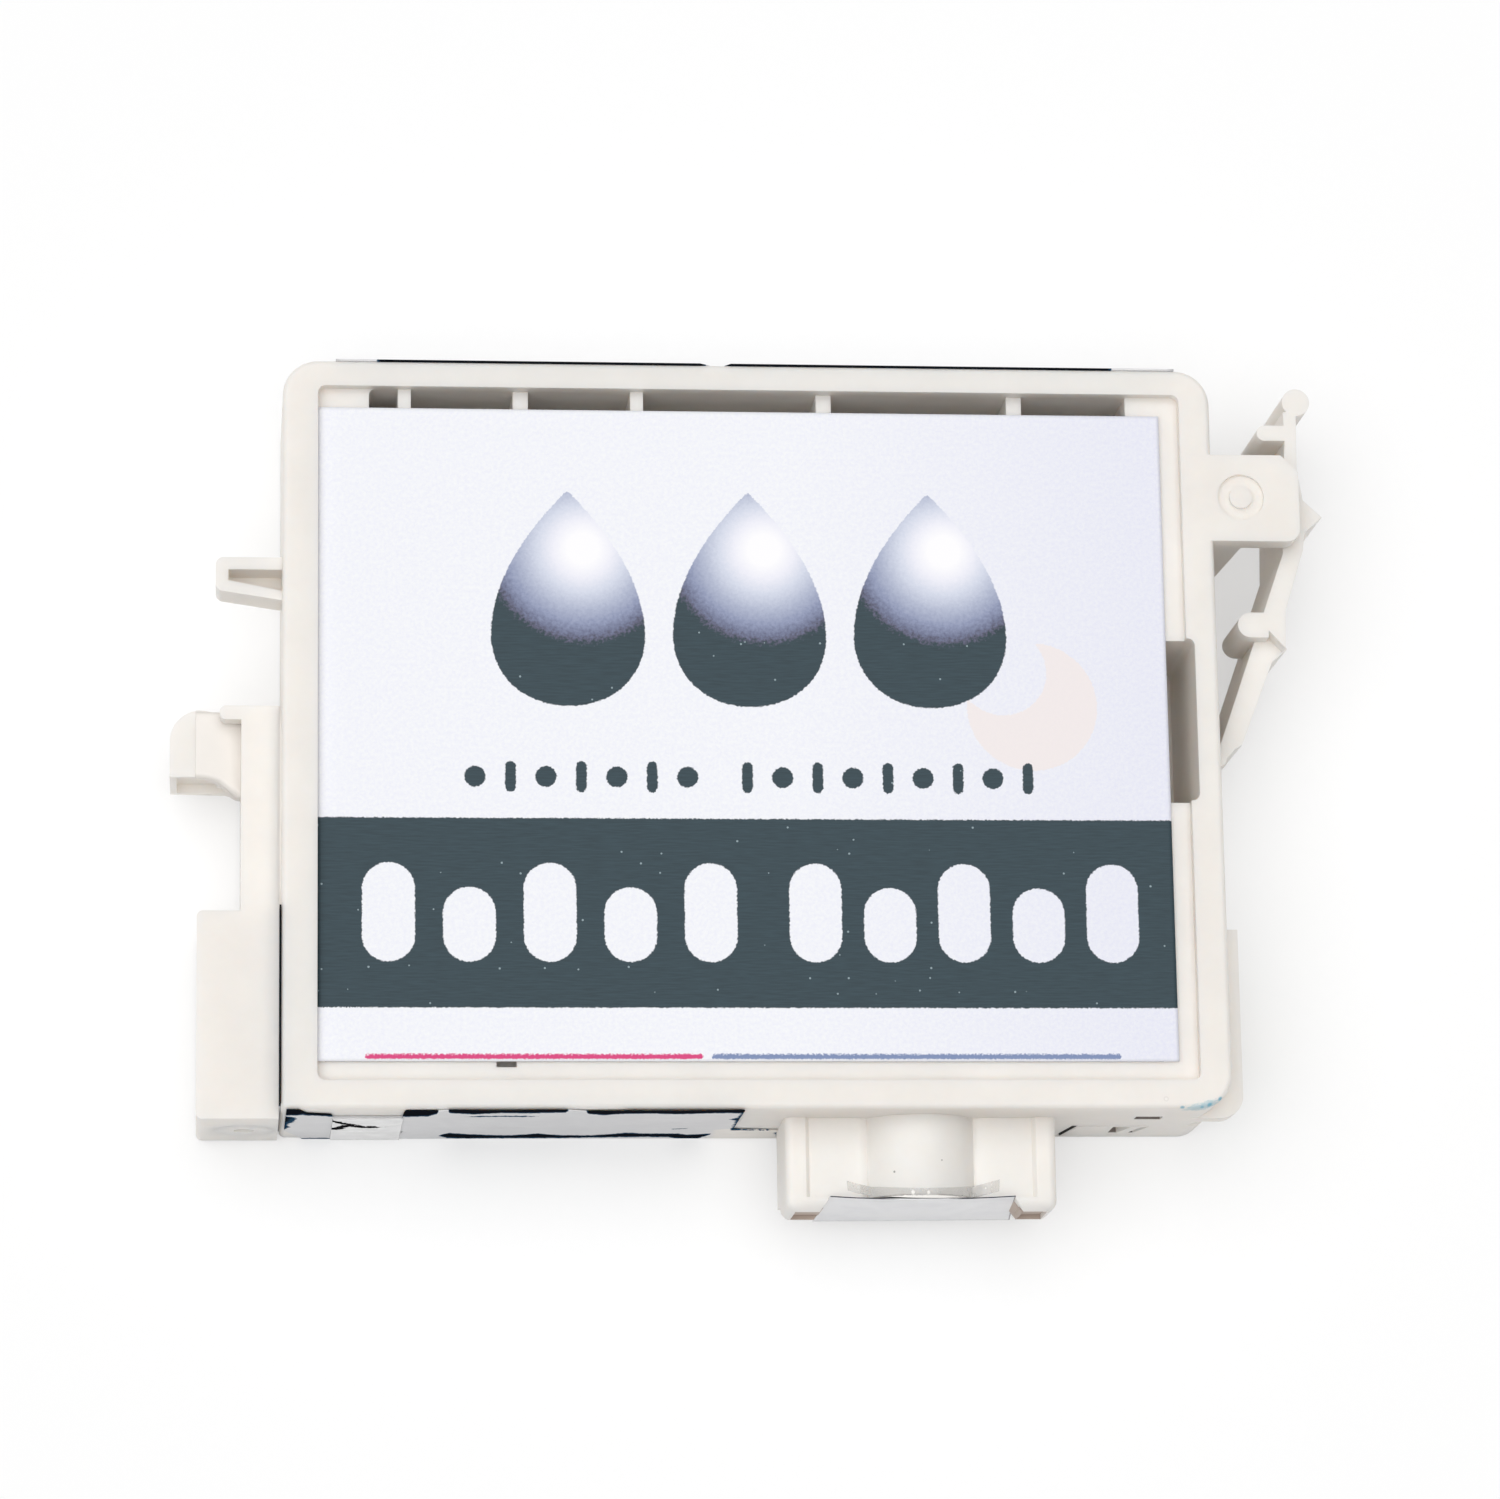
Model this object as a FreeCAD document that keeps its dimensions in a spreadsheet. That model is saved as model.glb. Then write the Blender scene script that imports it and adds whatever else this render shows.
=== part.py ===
import FreeCAD, Part
import operator
import os
import Sketcher

# A flat inkjet ink cartridge, lying on its back, in millimetres.
# X runs along its length, Y towards its top edge and Z through its thickness, from the wrap film on its
# back at zero to the rim of its front. The origin is the centre of the back.
# The case is one moulding with open pockets and film-sealed ink chambers. A latch lever stands off its right
# side, an air valve block with a hook is pegged to its left side, and the supply port is at its bottom edge.

NEAR = 0.01

document = FreeCAD.newDocument("ink_cartridge")
sheet = document.addObject("Spreadsheet::Sheet", "Sizes")


class Size:
    """A number together with the sheet formula that gives it."""

    def __init__(self, formula, value):
        self.formula = formula
        self.value = value

    def __add__(self, other):
        return combine(self, "+", other)

    def __radd__(self, other):
        return combine(other, "+", self)

    def __sub__(self, other):
        return combine(self, "-", other)

    def __rsub__(self, other):
        return combine(other, "-", self)

    def __mul__(self, other):
        return combine(self, "*", other)

    def __rmul__(self, other):
        return combine(other, "*", self)

    def __truediv__(self, other):
        return combine(self, "/", other)

    def __neg__(self):
        return combine(0, "-", self)


OPERATIONS = {"+": operator.add, "-": operator.sub, "*": operator.mul, "/": operator.truediv}


def as_size(number):
    return number if isinstance(number, Size) else Size(f"{number:.6f}", float(number))


def combine(left, sign, right):
    left, right = as_size(left), as_size(right)
    return Size(f"({left.formula} {sign} {right.formula})", OPERATIONS[sign](left.value, right.value))


row = 0


def size(name, value):
    """Writes one driving size into the sheet."""
    global row
    row += 1
    sheet.set(f"A{row}", name)
    sheet.set(f"B{row}", str(value))
    sheet.setAlias(f"B{row}", name)
    return Size(f"Sizes.{name}", float(value))


# Case outline, thickness and rim
case_length = size("case_length", 61.3)
case_width = size("case_width", 49.55)
case_depth = size("case_depth", 12.0)
wrap_thickness = size("wrap_thickness", 0.12)
corner_radius = size("corner_radius", 2.3)
tight_corner_radius = size("tight_corner_radius", 0.4)
rim_rounding = size("rim_rounding", 0.35)
rim_left = size("rim_left", 2.3)
rim_right = size("rim_right", 2.07)
rim_top = size("rim_top", 1.7)
rim_bottom = size("rim_bottom", 1.85)
rim_step = size("rim_step", 0.8)
recess_corner_radius = size("recess_corner_radius", 0.5)
back_wall = size("back_wall", 2.1)

# Row of open pockets along the top, with full ribs and lower ribs between them
pocket_left_margin = size("pocket_left_margin", 3.33)
pocket_right_margin = size("pocket_right_margin", 3.48)
pocket_span = size("pocket_span", 2.9)
rib_thickness = size("rib_thickness", 0.85)
low_rib_thickness = size("low_rib_thickness", 1.0)
low_rib_drop = size("low_rib_drop", 0.3)
pocket_corner_radius = size("pocket_corner_radius", 0.4)
rib_1_at = size("rib_1_at", 2.32)
rib_2_at = size("rib_2_at", 9.95)
rib_3_at = size("rib_3_at", 17.6)
rib_4_at = size("rib_4_at", 30.0)
rib_5_at = size("rib_5_at", 42.7)

# Slot beside the label and the small hole under its lower edge
slot_width = size("slot_width", 2.15)
slot_into_rim = size("slot_into_rim", 0.55)
slot_corner_radius = size("slot_corner_radius", 0.5)
slot_bottom = size("slot_bottom", -4.46)
slot_top = size("slot_top", 6.45)
hole_from_left = size("hole_from_left", 13.75)
hole_length = size("hole_length", 1.3)
hole_width = size("hole_width", 0.8)
hole_from_rim = size("hole_from_rim", 0.95)
hole_depth = size("hole_depth", 2.0)

# Ink chambers
chamber_wall = size("chamber_wall", 1.2)
chamber_right_margin = size("chamber_right_margin", 3.0)
chamber_bottom_margin = size("chamber_bottom_margin", 2.0)
divider_from_bottom = size("divider_from_bottom", 21.775)
divider_thickness = size("divider_thickness", 1.0)
chamber_to_bay = size("chamber_to_bay", 3.1)
flow_notch = size("flow_notch", 2.0)
baffle_thickness = size("baffle_thickness", 0.8)
baffle_drop = size("baffle_drop", 1.6)
baffle_gap = size("baffle_gap", 3.0)
baffle_1_at = size("baffle_1_at", 17.65)
baffle_2_at = size("baffle_2_at", 35.65)
baffle_3_at = size("baffle_3_at", 15.15)

# Pressure valve bay
bay_from_right = size("bay_from_right", 16.05)
bay_from_bottom = size("bay_from_bottom", 12.375)
bay_radius = size("bay_radius", 7.0)
membrane_bay_radius = size("membrane_bay_radius", 6.0)
membrane_share = size("membrane_share", 0.4543)
valve_seat_radius = size("valve_seat_radius", 1.3)
valve_seat_height = size("valve_seat_height", 2.2)
valve_hole_radius = size("valve_hole_radius", 0.5)
membrane_thickness = size("membrane_thickness", 0.5)
membrane_boss_radius = size("membrane_boss_radius", 1.1)
seat_clearance = size("seat_clearance", 0.08)
cover_gap = size("cover_gap", 0.6)
cover_wall = size("cover_wall", 1.0)
cover_hole_radius = size("cover_hole_radius", 0.8)
pressure_spring_radius = size("pressure_spring_radius", 1.6)
pressure_spring_turns = size("pressure_spring_turns", 4)
spring_wire_radius = size("spring_wire_radius", 0.14)
channel_width = size("channel_width", 1.2)
channel_depth = size("channel_depth", 0.8)

# Label and films
label_left_margin = size("label_left_margin", 0.06)
label_right_margin = size("label_right_margin", 1.3)
label_top_margin = size("label_top_margin", 1.35)
label_bottom_margin = size("label_bottom_margin", 1.3)
label_thickness = size("label_thickness", 0.11)
film_thickness = size("film_thickness", 0.08)
film_overlap = size("film_overlap", 0.7)

# Lug on the right with its round moulding mark and gusset
lug_length = size("lug_length", 5.8)
lug_width = size("lug_width", 5.9)
lug_from_top = size("lug_from_top", 5.775)
lug_thickness = size("lug_thickness", 1.8)
lug_chamfer = size("lug_chamfer", 1.15)
lug_corner_radius = size("lug_corner_radius", 0.9)
lug_root_radius = size("lug_root_radius", 0.8)
mark_radius = size("mark_radius", 1.55)
mark_inner_radius = size("mark_inner_radius", 0.75)
mark_depth = size("mark_depth", 0.3)
mark_from_case = size("mark_from_case", 1.9)
mark_from_bottom = size("mark_from_bottom", 3.0)
gusset_thickness = size("gusset_thickness", 0.8)
gusset_reach = size("gusset_reach", 2.1)
gusset_taper = size("gusset_taper", 0.4)
gusset_height = size("gusset_height", 8.0)

# Small loop on the left
loop_reach = size("loop_reach", 4.3)
loop_from_top = size("loop_from_top", 13.125)
loop_outer_end = size("loop_outer_end", 2.2)
loop_inner_end = size("loop_inner_end", 2.92)
loop_wall = size("loop_wall", 0.82)
loop_low_wall = size("loop_low_wall", 0.67)
loop_drop = size("loop_drop", 1.0)
loop_depth = size("loop_depth", 2.9)
loop_web = size("loop_web", 0.65)
loop_corner_radius = size("loop_corner_radius", 0.5)

# Supply port
port_from_right = size("port_from_right", 19.93)
port_width = size("port_width", 17.65)
port_length = size("port_length", 5.2)
port_low = size("port_low", 2.6)
port_panel_high = size("port_panel_high", 8.05)
port_rib_high = size("port_rib_high", 8.35)
port_rib_width = size("port_rib_width", 1.55)
port_rounding = size("port_rounding", 0.5)
port_lobe = size("port_lobe", 0.95)
port_lobe_width = size("port_lobe_width", 2.85)
port_lobe_slant = size("port_lobe_slant", 0.7)
port_lobe_low = size("port_lobe_low", 4.2)
port_lobe_skin = size("port_lobe_skin", 0.5)
port_lobe_wall = size("port_lobe_wall", 0.6)
port_lobe_recess = size("port_lobe_recess", 0.4)
port_lobe_corner_share = size("port_lobe_corner_share", 0.8)
barrel_radius = size("barrel_radius", 4.0)
barrel_z = size("barrel_z", 5.75)
cove_reach = size("cove_reach", 4.0)
cove_slant = size("cove_slant", 0.6)
cove_depth = size("cove_depth", 0.35)
bore_radius = size("bore_radius", 3.0)
bore_length = size("bore_length", 8.6)
filter_step = size("filter_step", 0.5)
riser_radius = size("riser_radius", 0.45)
side_hollow_wall = size("side_hollow_wall", 1.1)
side_hollow_depth = size("side_hollow_depth", 4.0)
seal_length = size("seal_length", 3.2)
seal_bore_radius = size("seal_bore_radius", 1.3)
valve_radius = size("valve_radius", 2.3)
valve_head = size("valve_head", 0.9)
valve_skirt_wall = size("valve_skirt_wall", 0.5)
valve_skirt_length = size("valve_skirt_length", 1.1)
supply_spring_radius = size("supply_spring_radius", 1.45)
supply_spring_turns = size("supply_spring_turns", 5)
filter_thickness = size("filter_thickness", 0.35)
strip_width = size("strip_width", 0.95)
strip_foot_rise = size("strip_foot_rise", 2.68)

# Slot, gap and latch window in the bottom wall beside the port, and the squarer lower corner of the body
side_cut_depth = size("side_cut_depth", 1.2)
end_slot_from_right = size("end_slot_from_right", 4.05)
end_slot_length = size("end_slot_length", 1.76)
end_slot_low = size("end_slot_low", 7.3)
end_slot_height = size("end_slot_height", 1.2)
seam_from_right = size("seam_from_right", 9.45)
seam_length = size("seam_length", 5.1)
seam_high = size("seam_high", 4.75)
seam_height = size("seam_height", 0.3)
seam_depth = size("seam_depth", 0.4)
gap_width = size("gap_width", 0.4)
gap_slant = size("gap_slant", 0.6)
gap_low = size("gap_low", 0.4)
window_from_right = size("window_from_right", 4.35)
window_length = size("window_length", 2.3)
window_low = size("window_low", 1.7)
window_high = size("window_high", 4.2)
window_bar = size("window_bar", 0.7)
foot_corner_radius = size("foot_corner_radius", 1.8)

# Shelf on the right and the memory board in its recess below it
shelf_reach = size("shelf_reach", 1.4)
shelf_length = size("shelf_length", 12.525)
shelf_low = size("shelf_low", 6.4)
shelf_thickness = size("shelf_thickness", 1.5)
shelf_corner_radius = size("shelf_corner_radius", 1.5)
board_from_shelf_end = size("board_from_shelf_end", 0.95)
board_from_shelf = size("board_from_shelf", 0.45)
board_length = size("board_length", 9.6)
board_width = size("board_width", 4.8)
board_thickness = size("board_thickness", 0.5)
board_clearance = size("board_clearance", 0.06)
contact_thickness = size("contact_thickness", 0.05)
contact_length = size("contact_length", 1.5)
contact_width = size("contact_width", 0.9)
contact_pitch = size("contact_pitch", 1.3)
contact_row_offset = size("contact_row_offset", 0.98)
resin_radius = size("resin_radius", 1.3)
resin_height = size("resin_height", 0.5)
resin_rounding = size("resin_rounding", 0.3)

# Latch lever
root_radius = size("root_radius", 0.45)
root_gap = size("root_gap", 0.05)
root_from_top = size("root_from_top", 25.725)
lever_low = size("lever_low", 1.4)
lever_gap = size("lever_gap", 0.3)
lever_step = size("lever_step", 1.3)
peg_length = size("peg_length", 6.0)
head_radius = size("head_radius", 0.93)

# Air valve block on the left, with its bar, finger and hook
block_low = size("block_low", 0.3)
block_high = size("block_high", 9.4)
bar_width = size("bar_width", 2.48)
bar_length = size("bar_length", 26.895)
block_width = size("block_width", 5.28)
block_length = size("block_length", 13.55)
block_below_case = size("block_below_case", 0.225)
block_rounding = size("block_rounding", 0.4)
finger_length = size("finger_length", 1.4)
finger_width = size("finger_width", 0.92)
finger_rounding = size("finger_rounding", 0.41)
hook_reach = size("hook_reach", 4.62)
hook_width = size("hook_width", 4.42)
hook_high = size("hook_high", 8.0)
hook_low = size("hook_low", 2.35)
hook_corner_radius = size("hook_corner_radius", 2.0)
hook_bend_radius = size("hook_bend_radius", 1.2)
hook_foot_high = size("hook_foot_high", 2.0)
hook_recess_wall = size("hook_recess_wall", 0.45)
hook_recess_depth = size("hook_recess_depth", 0.6)
hook_pip_radius = size("hook_pip_radius", 0.22)
hook_step = size("hook_step", 0.18)
hook_step_length = size("hook_step_length", 1.67)
locating_peg_radius = size("locating_peg_radius", 0.7)
locating_peg_length = size("locating_peg_length", 1.4)
peg_clearance = size("peg_clearance", 0.04)
upper_peg_drop = size("upper_peg_drop", 1.92)
lower_peg_at = size("lower_peg_at", 15.7)
peg_z = size("peg_z", 5.2)

# Air valve inside the block
air_x = size("air_x", 2.2)
air_z = size("air_z", 4.4)
air_cap_radius = size("air_cap_radius", 1.95)
air_cap_length = size("air_cap_length", 1.2)
air_bore_radius = size("air_bore_radius", 1.6)
air_bore_length = size("air_bore_length", 6.5)
air_stem_radius = size("air_stem_radius", 0.6)
air_seal_thickness = size("air_seal_thickness", 0.6)
air_head_radius = size("air_head_radius", 1.4)
air_head_length = size("air_head_length", 1.0)
air_spring_radius = size("air_spring_radius", 0.95)
air_spring_turns = size("air_spring_turns", 6)
air_stem_recess = size("air_stem_recess", 0.3)
air_passage_radius = size("air_passage_radius", 0.35)
air_passage_at = size("air_passage_at", 6.2)
running_gap = size("running_gap", 0.06)
breather_radius = size("breather_radius", 1.7)
breather_thickness = size("breather_thickness", 0.25)

# Wrap film and tape
wrap_top_start = size("wrap_top_start", 3.45)
wrap_to_port = size("wrap_to_port", 2.9)
wrap_under_bar = size("wrap_under_bar", 0.15)
wrap_below_front = size("wrap_below_front", 0.1)
wrap_cut = size("wrap_cut", 0.3)
tape_from_left = size("tape_from_left", 3.35)
tape_length = size("tape_length", 4.5)
tape_thickness = size("tape_thickness", 0.06)
tape_low = size("tape_low", 0.4)
tape_high = size("tape_high", 8.8)

document.recompute()

# Places that follow from the sizes
left = -case_length / 2
right = case_length / 2
bottom = -case_width / 2
top = case_width / 2
back = wrap_thickness
ledge = case_depth - rim_step
floor = back + back_wall
recess_left = left + rim_left
recess_right = right - rim_right
recess_bottom = bottom + rim_bottom
recess_top = top - rim_top
pocket_left = recess_left + pocket_left_margin
pocket_right = recess_right - pocket_right_margin
pocket_bottom = recess_top - pocket_span
chamber_left = recess_left + chamber_wall
chamber_right = recess_right - chamber_right_margin
chamber_bottom = recess_bottom + chamber_bottom_margin
chamber_top = pocket_bottom - chamber_wall
divider_top = bottom + divider_from_bottom
divider_bottom = divider_top - divider_thickness
port_x = right - port_from_right
port_end = bottom - port_length
port_left = port_x - port_width / 2
port_right = port_x + port_width / 2
bay_x = right - bay_from_right
bay_y = bottom + bay_from_bottom
membrane_seat = floor + (ledge - floor) * membrane_share
lower_chamber_right = bay_x - bay_radius - chamber_to_bay
lug_low = case_depth - lug_thickness
lug_top = top - lug_from_top
lug_bottom = lug_top - lug_width
loop_top = top - loop_from_top
shelf_end = bottom + shelf_length
root_y = top - root_from_top
block_right = left - wrap_thickness
block_bottom = bottom - block_below_case
block_top = block_bottom + block_length
bar_top = bottom + bar_length
air_passage_y = block_bottom + air_passage_at


def bind(thing, path, amount):
    """Ties one property of an object to its formula in the sheet."""
    thing.setExpression(path, as_size(amount).formula)


def new_body(name):
    body = document.addObject("PartDesign::Body", name)
    body.Label = name
    return body


def rectangle(x_low, x_high, y_low, y_high):
    return [(x_low, y_low), (x_high, y_low), (x_high, y_high), (x_low, y_high)]


def circle(x, y, radius):
    return (as_size(x), as_size(y), as_size(radius))


def hold(sketch, index, end, x, y):
    """Holds one end of a sketch line, or a circle's centre, at its distances from the sketch's origin."""
    for kind, amount in (("DistanceX", x), ("DistanceY", y)):
        number = sketch.addConstraint(Sketcher.Constraint(kind, -1, 1, index, end, amount.value))
        bind(sketch, f"Constraints[{number}]", amount)


def draw_circle(sketch, x, y, radius):
    centre = FreeCAD.Vector(x.value, y.value, 0)
    index = sketch.addGeometry(Part.Circle(centre, FreeCAD.Vector(0, 0, 1), radius.value), False)
    number = sketch.addConstraint(Sketcher.Constraint("Radius", index, radius.value))
    bind(sketch, f"Constraints[{number}]", radius)
    hold(sketch, index, 3, x, y)


def draw_outline(sketch, corners):
    corners = [(as_size(x), as_size(y)) for x, y in corners]
    points = [FreeCAD.Vector(x.value, y.value, 0) for x, y in corners]
    first = sketch.GeometryCount
    count = len(points)
    for i in range(count):
        sketch.addGeometry(Part.LineSegment(points[i], points[(i + 1) % count]), False)
    for i in range(count):
        sketch.addConstraint(Sketcher.Constraint("Coincident", first + i, 2, first + (i + 1) % count, 1))
    for i, (x, y) in enumerate(corners):
        hold(sketch, first + i, 1, x, y)


def new_sketch(body, name, plane, at, shapes):
    """A sketch on one of the body's own planes, moved to its place along the third axis."""
    sketch = body.newObject("Sketcher::SketchObject", name)
    role = f"{plane}_Plane"
    support = [feature for feature in body.Origin.OriginFeatures if feature.Role == role][0]
    sketch.AttachmentSupport = [(support, "")]
    sketch.MapMode = "FlatFace"
    bind(sketch, "AttachmentOffset.Base.z", -at if plane == "XZ" else at)
    for shape in shapes:
        if isinstance(shape, tuple):
            draw_circle(sketch, *shape)
        else:
            draw_outline(sketch, shape)
    return sketch


def pad(body, name, plane, low, high, *shapes):
    """Adds the shapes' prism between two places on the axis across their plane."""
    low, high = as_size(low), as_size(high)
    start = high if plane == "XZ" else low
    sketch = new_sketch(body, f"{name}_sketch", plane, start, shapes)
    feature = body.newObject("PartDesign::Pad", name)
    feature.Profile = sketch
    bind(feature, "Length", high - low)
    document.recompute()
    return feature


def pocket(body, name, plane, low, high, *shapes):
    """Cuts the shapes' prism between two places on the axis across their plane."""
    low, high = as_size(low), as_size(high)
    start = low if plane == "XZ" else high
    sketch = new_sketch(body, f"{name}_sketch", plane, start, shapes)
    before = body.Shape.Volume
    feature = body.newObject("PartDesign::Pocket", name)
    feature.Profile = sketch
    bind(feature, "Length", high - low)
    document.recompute()
    if not body.Shape.Volume < before - 1e-6:
        raise RuntimeError(f"{name} cuts nothing")
    return feature


def edges_across(body, plane, places):
    """Names the straight edges that stand across a plane at the given places on it."""
    first, second, across = {"XY": (0, 1, 2), "XZ": (0, 2, 1), "YZ": (1, 2, 0)}[plane]
    names = []
    for x, y in places:
        x, y = as_size(x).value, as_size(y).value
        for number, edge in enumerate(body.Shape.Edges, 1):
            ends = [vertex.Point for vertex in edge.Vertexes]
            if len(ends) != 2 or abs(ends[0][across] - ends[1][across]) < NEAR:
                continue
            if all(abs(end[first] - x) < NEAR and abs(end[second] - y) < NEAR for end in ends):
                names.append(f"Edge{number}")
    return names


def edges_at_height(body, height, inside=None):
    """Names the edges that lie flat at one height, and within a box in X and Y if one is given."""
    names = []
    for number, edge in enumerate(body.Shape.Edges, 1):
        box = edge.BoundBox
        if abs(box.ZMin - height.value) > NEAR or abs(box.ZMax - height.value) > NEAR:
            continue
        if inside:
            x_low, x_high, y_low, y_high = [as_size(value).value for value in inside]
            if box.XMin < x_low or box.XMax > x_high or box.YMin < y_low or box.YMax > y_high:
                continue
        names.append(f"Edge{number}")
    return names


def dress(body, kind, name, amount, names):
    """Adds a fillet or a chamfer on named edges of the body as it stands."""
    if not names:
        raise RuntimeError(f"{name} found no edge")
    feature = body.newObject(f"PartDesign::{kind}", name)
    feature.Base = (body.Tip if feature is not body.Tip else feature.BaseFeature, names)
    bind(feature, "Radius" if kind == "Fillet" else "Size", amount)
    document.recompute()
    return feature


def fillet(body, name, radius, plane, places):
    return dress(body, "Fillet", name, radius, edges_across(body, plane, places))


# The case: outline, rim and recess
case = new_body("case")
pad(case, "outer_walls", "XY", back, case_depth, rectangle(left, right, bottom, top))
fillet(case, "outer_corners", corner_radius, "XY", [(left, top), (right, top), (right, bottom)])
fillet(case, "lower_left_corner", tight_corner_radius, "XY", [(left, bottom)])
dress(case, "Fillet", "rim_edge", rim_rounding, edges_at_height(case, case_depth))
pocket(case, "front_recess", "XY", ledge, case_depth,
       rectangle(recess_left, recess_right, recess_bottom, recess_top))
fillet(case, "recess_corners", recess_corner_radius, "XY",
       [(x, y) for x in (recess_left, recess_right) for y in (recess_bottom, recess_top)])


def upright_strip(x, thickness, y_low, y_high):
    return rectangle(x - thickness / 2, x + thickness / 2, y_low, y_high)


# The case: open pockets along the top and the ribs between them
pocket(case, "pocket_row", "XY", floor, ledge, rectangle(pocket_left, pocket_right, pocket_bottom, recess_top))
fillet(case, "pocket_corner", pocket_corner_radius, "XY", [(pocket_left, recess_top)])
pad(case, "full_ribs", "XY", floor, ledge,
    *[upright_strip(pocket_left + at, rib_thickness, pocket_bottom, recess_top) for at in (rib_1_at, rib_3_at)])
pad(case, "low_ribs", "XY", floor, ledge - low_rib_drop,
    *[upright_strip(pocket_left + at, low_rib_thickness, pocket_bottom, recess_top)
      for at in (rib_2_at, rib_4_at, rib_5_at)])

# The case: slot beside the label and the small hole under its lower edge
slot_right = recess_right + slot_into_rim
pocket(case, "side_slot", "XY", floor, case_depth,
       rectangle(slot_right - slot_width, slot_right, slot_bottom, slot_top))
fillet(case, "slot_corners", slot_corner_radius, "XY", [(slot_right, slot_bottom), (slot_right, slot_top)])
hole_left = left + hole_from_left
hole_low = recess_bottom + hole_from_rim
pocket(case, "small_hole", "XY", ledge - hole_depth, ledge,
       rectangle(hole_left, hole_left + hole_length, hole_low, hole_low + hole_width))

# The case: ink chambers, the notches that join them and their baffles
pocket(case, "upper_chamber", "XY", floor, ledge,
       rectangle(chamber_left, chamber_right, divider_top, chamber_top))
pocket(case, "lower_chamber", "XY", floor, ledge,
       rectangle(chamber_left, lower_chamber_right, chamber_bottom, divider_bottom))
pocket(case, "divider_notch", "XY", floor, ledge,
       rectangle(chamber_left, chamber_left + flow_notch, divider_bottom, divider_top))
baffle_high = ledge - baffle_drop
pad(case, "upper_baffles", "XY", floor, baffle_high,
    *[upright_strip(chamber_left + at, baffle_thickness, divider_top + baffle_gap, chamber_top)
      for at in (baffle_1_at, baffle_2_at)])
pad(case, "lower_baffle", "XY", floor, baffle_high,
    upright_strip(chamber_left + baffle_3_at, baffle_thickness, chamber_bottom + baffle_gap, divider_bottom))

# The case: pressure valve bay, with its step, its seat and the channel on the back that leads to the port
valve_seat_top = floor + valve_seat_height
pocket(case, "cover_bay", "XY", membrane_seat, ledge, circle(bay_x, bay_y, bay_radius))
pocket(case, "membrane_bay", "XY", floor, membrane_seat, circle(bay_x, bay_y, membrane_bay_radius))
pocket(case, "bay_notch", "XY", membrane_seat, ledge,
       rectangle(lower_chamber_right, bay_x - membrane_bay_radius, bay_y - flow_notch / 2, bay_y + flow_notch / 2))
pad(case, "valve_seat", "XY", floor, valve_seat_top, circle(bay_x, bay_y, valve_seat_radius))
pocket(case, "valve_hole", "XY", back, valve_seat_top, circle(bay_x, bay_y, valve_hole_radius))
bore_inner_end = port_end + bore_length
channel_end = bore_inner_end - channel_width
pocket(case, "back_channel", "XY", back, back + channel_depth,
       [(bay_x - channel_width / 2, bay_y + channel_width / 2), (bay_x - channel_width / 2, bay_y - bay_radius / 2),
        (port_x - channel_width / 2, bay_y - bay_radius / 2 - bay_x + port_x), (port_x - channel_width / 2, channel_end),
        (port_x + channel_width / 2, channel_end),
        (port_x + channel_width / 2, bay_y - bay_radius / 2 - bay_x + port_x + channel_width / 2),
        (bay_x + channel_width / 2, bay_y - bay_radius / 2 + channel_width / 2),
        (bay_x + channel_width / 2, bay_y + channel_width / 2)])

# The case: lug with its round moulding mark, chamfer, gusset and rounded corners
lug_right = right + lug_length
pad(case, "lug", "XY", lug_low, case_depth,
    [(recess_right + rim_right / 2, lug_bottom), (lug_right, lug_bottom), (lug_right, lug_top - lug_chamfer),
     (lug_right - lug_chamfer, lug_top), (recess_right + rim_right / 2, lug_top)])
fillet(case, "lug_corner", lug_corner_radius, "XY", [(lug_right, lug_bottom)])
pad(case, "lug_gusset", "XZ", lug_bottom, lug_bottom + gusset_thickness,
    [(right - rim_rounding, lug_low - gusset_height), (right + gusset_reach - gusset_taper, lug_low - gusset_height),
     (right + gusset_reach, lug_low), (right - rim_rounding, lug_low)])
mark_x = right + mark_from_case
mark_y = lug_bottom + mark_from_bottom
pocket(case, "lug_mark", "XY", case_depth - mark_depth, case_depth,
       circle(mark_x, mark_y, mark_radius), circle(mark_x, mark_y, mark_inner_radius))

# The case: small loop on the left
loop_high = case_depth - loop_drop
loop_left = left - loop_reach
loop_low = loop_high - loop_depth
pad(case, "side_loop", "XY", loop_low, loop_high,
    [(loop_left, loop_top), (loop_left, loop_top - loop_outer_end), (left + rim_rounding, loop_top - loop_inner_end),
     (left + rim_rounding, loop_top)])
fillet(case, "loop_corners", loop_corner_radius, "XY", [(loop_left, loop_top), (loop_left, loop_top - loop_outer_end)])
pocket(case, "loop_hollow", "XY", loop_low + loop_web, loop_high,
       [(loop_left + loop_wall, loop_top - loop_wall),
        (loop_left + loop_wall, loop_top - loop_outer_end + loop_low_wall),
        (left, loop_top - loop_inner_end + loop_low_wall), (left, loop_top - loop_wall)])

# The case: supply port with its two ribs, flat panels, barrel and end lobes
rib_foot = port_rounding / 2
cove_foot = cove_reach - cove_slant
pad(case, "port_housing", "XZ", port_end, bottom + rim_bottom,
    [(port_left, port_low), (port_left, port_rib_high), (port_left + port_rib_width - rib_foot, port_rib_high),
     (port_left + port_rib_width, port_panel_high), (port_x - cove_reach, port_panel_high),
     (port_x - cove_foot, port_panel_high - cove_depth), (port_x + cove_foot, port_panel_high - cove_depth),
     (port_x + cove_reach, port_panel_high), (port_right - port_rib_width, port_panel_high),
     (port_right - port_rib_width + rib_foot, port_rib_high), (port_right, port_rib_high), (port_right, port_low)])
pad(case, "port_barrel", "XZ", port_end, bottom + rim_bottom, circle(port_x, barrel_z, barrel_radius))
inner_left = port_left + port_lobe_width
inner_right = port_right - port_lobe_width
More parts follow.
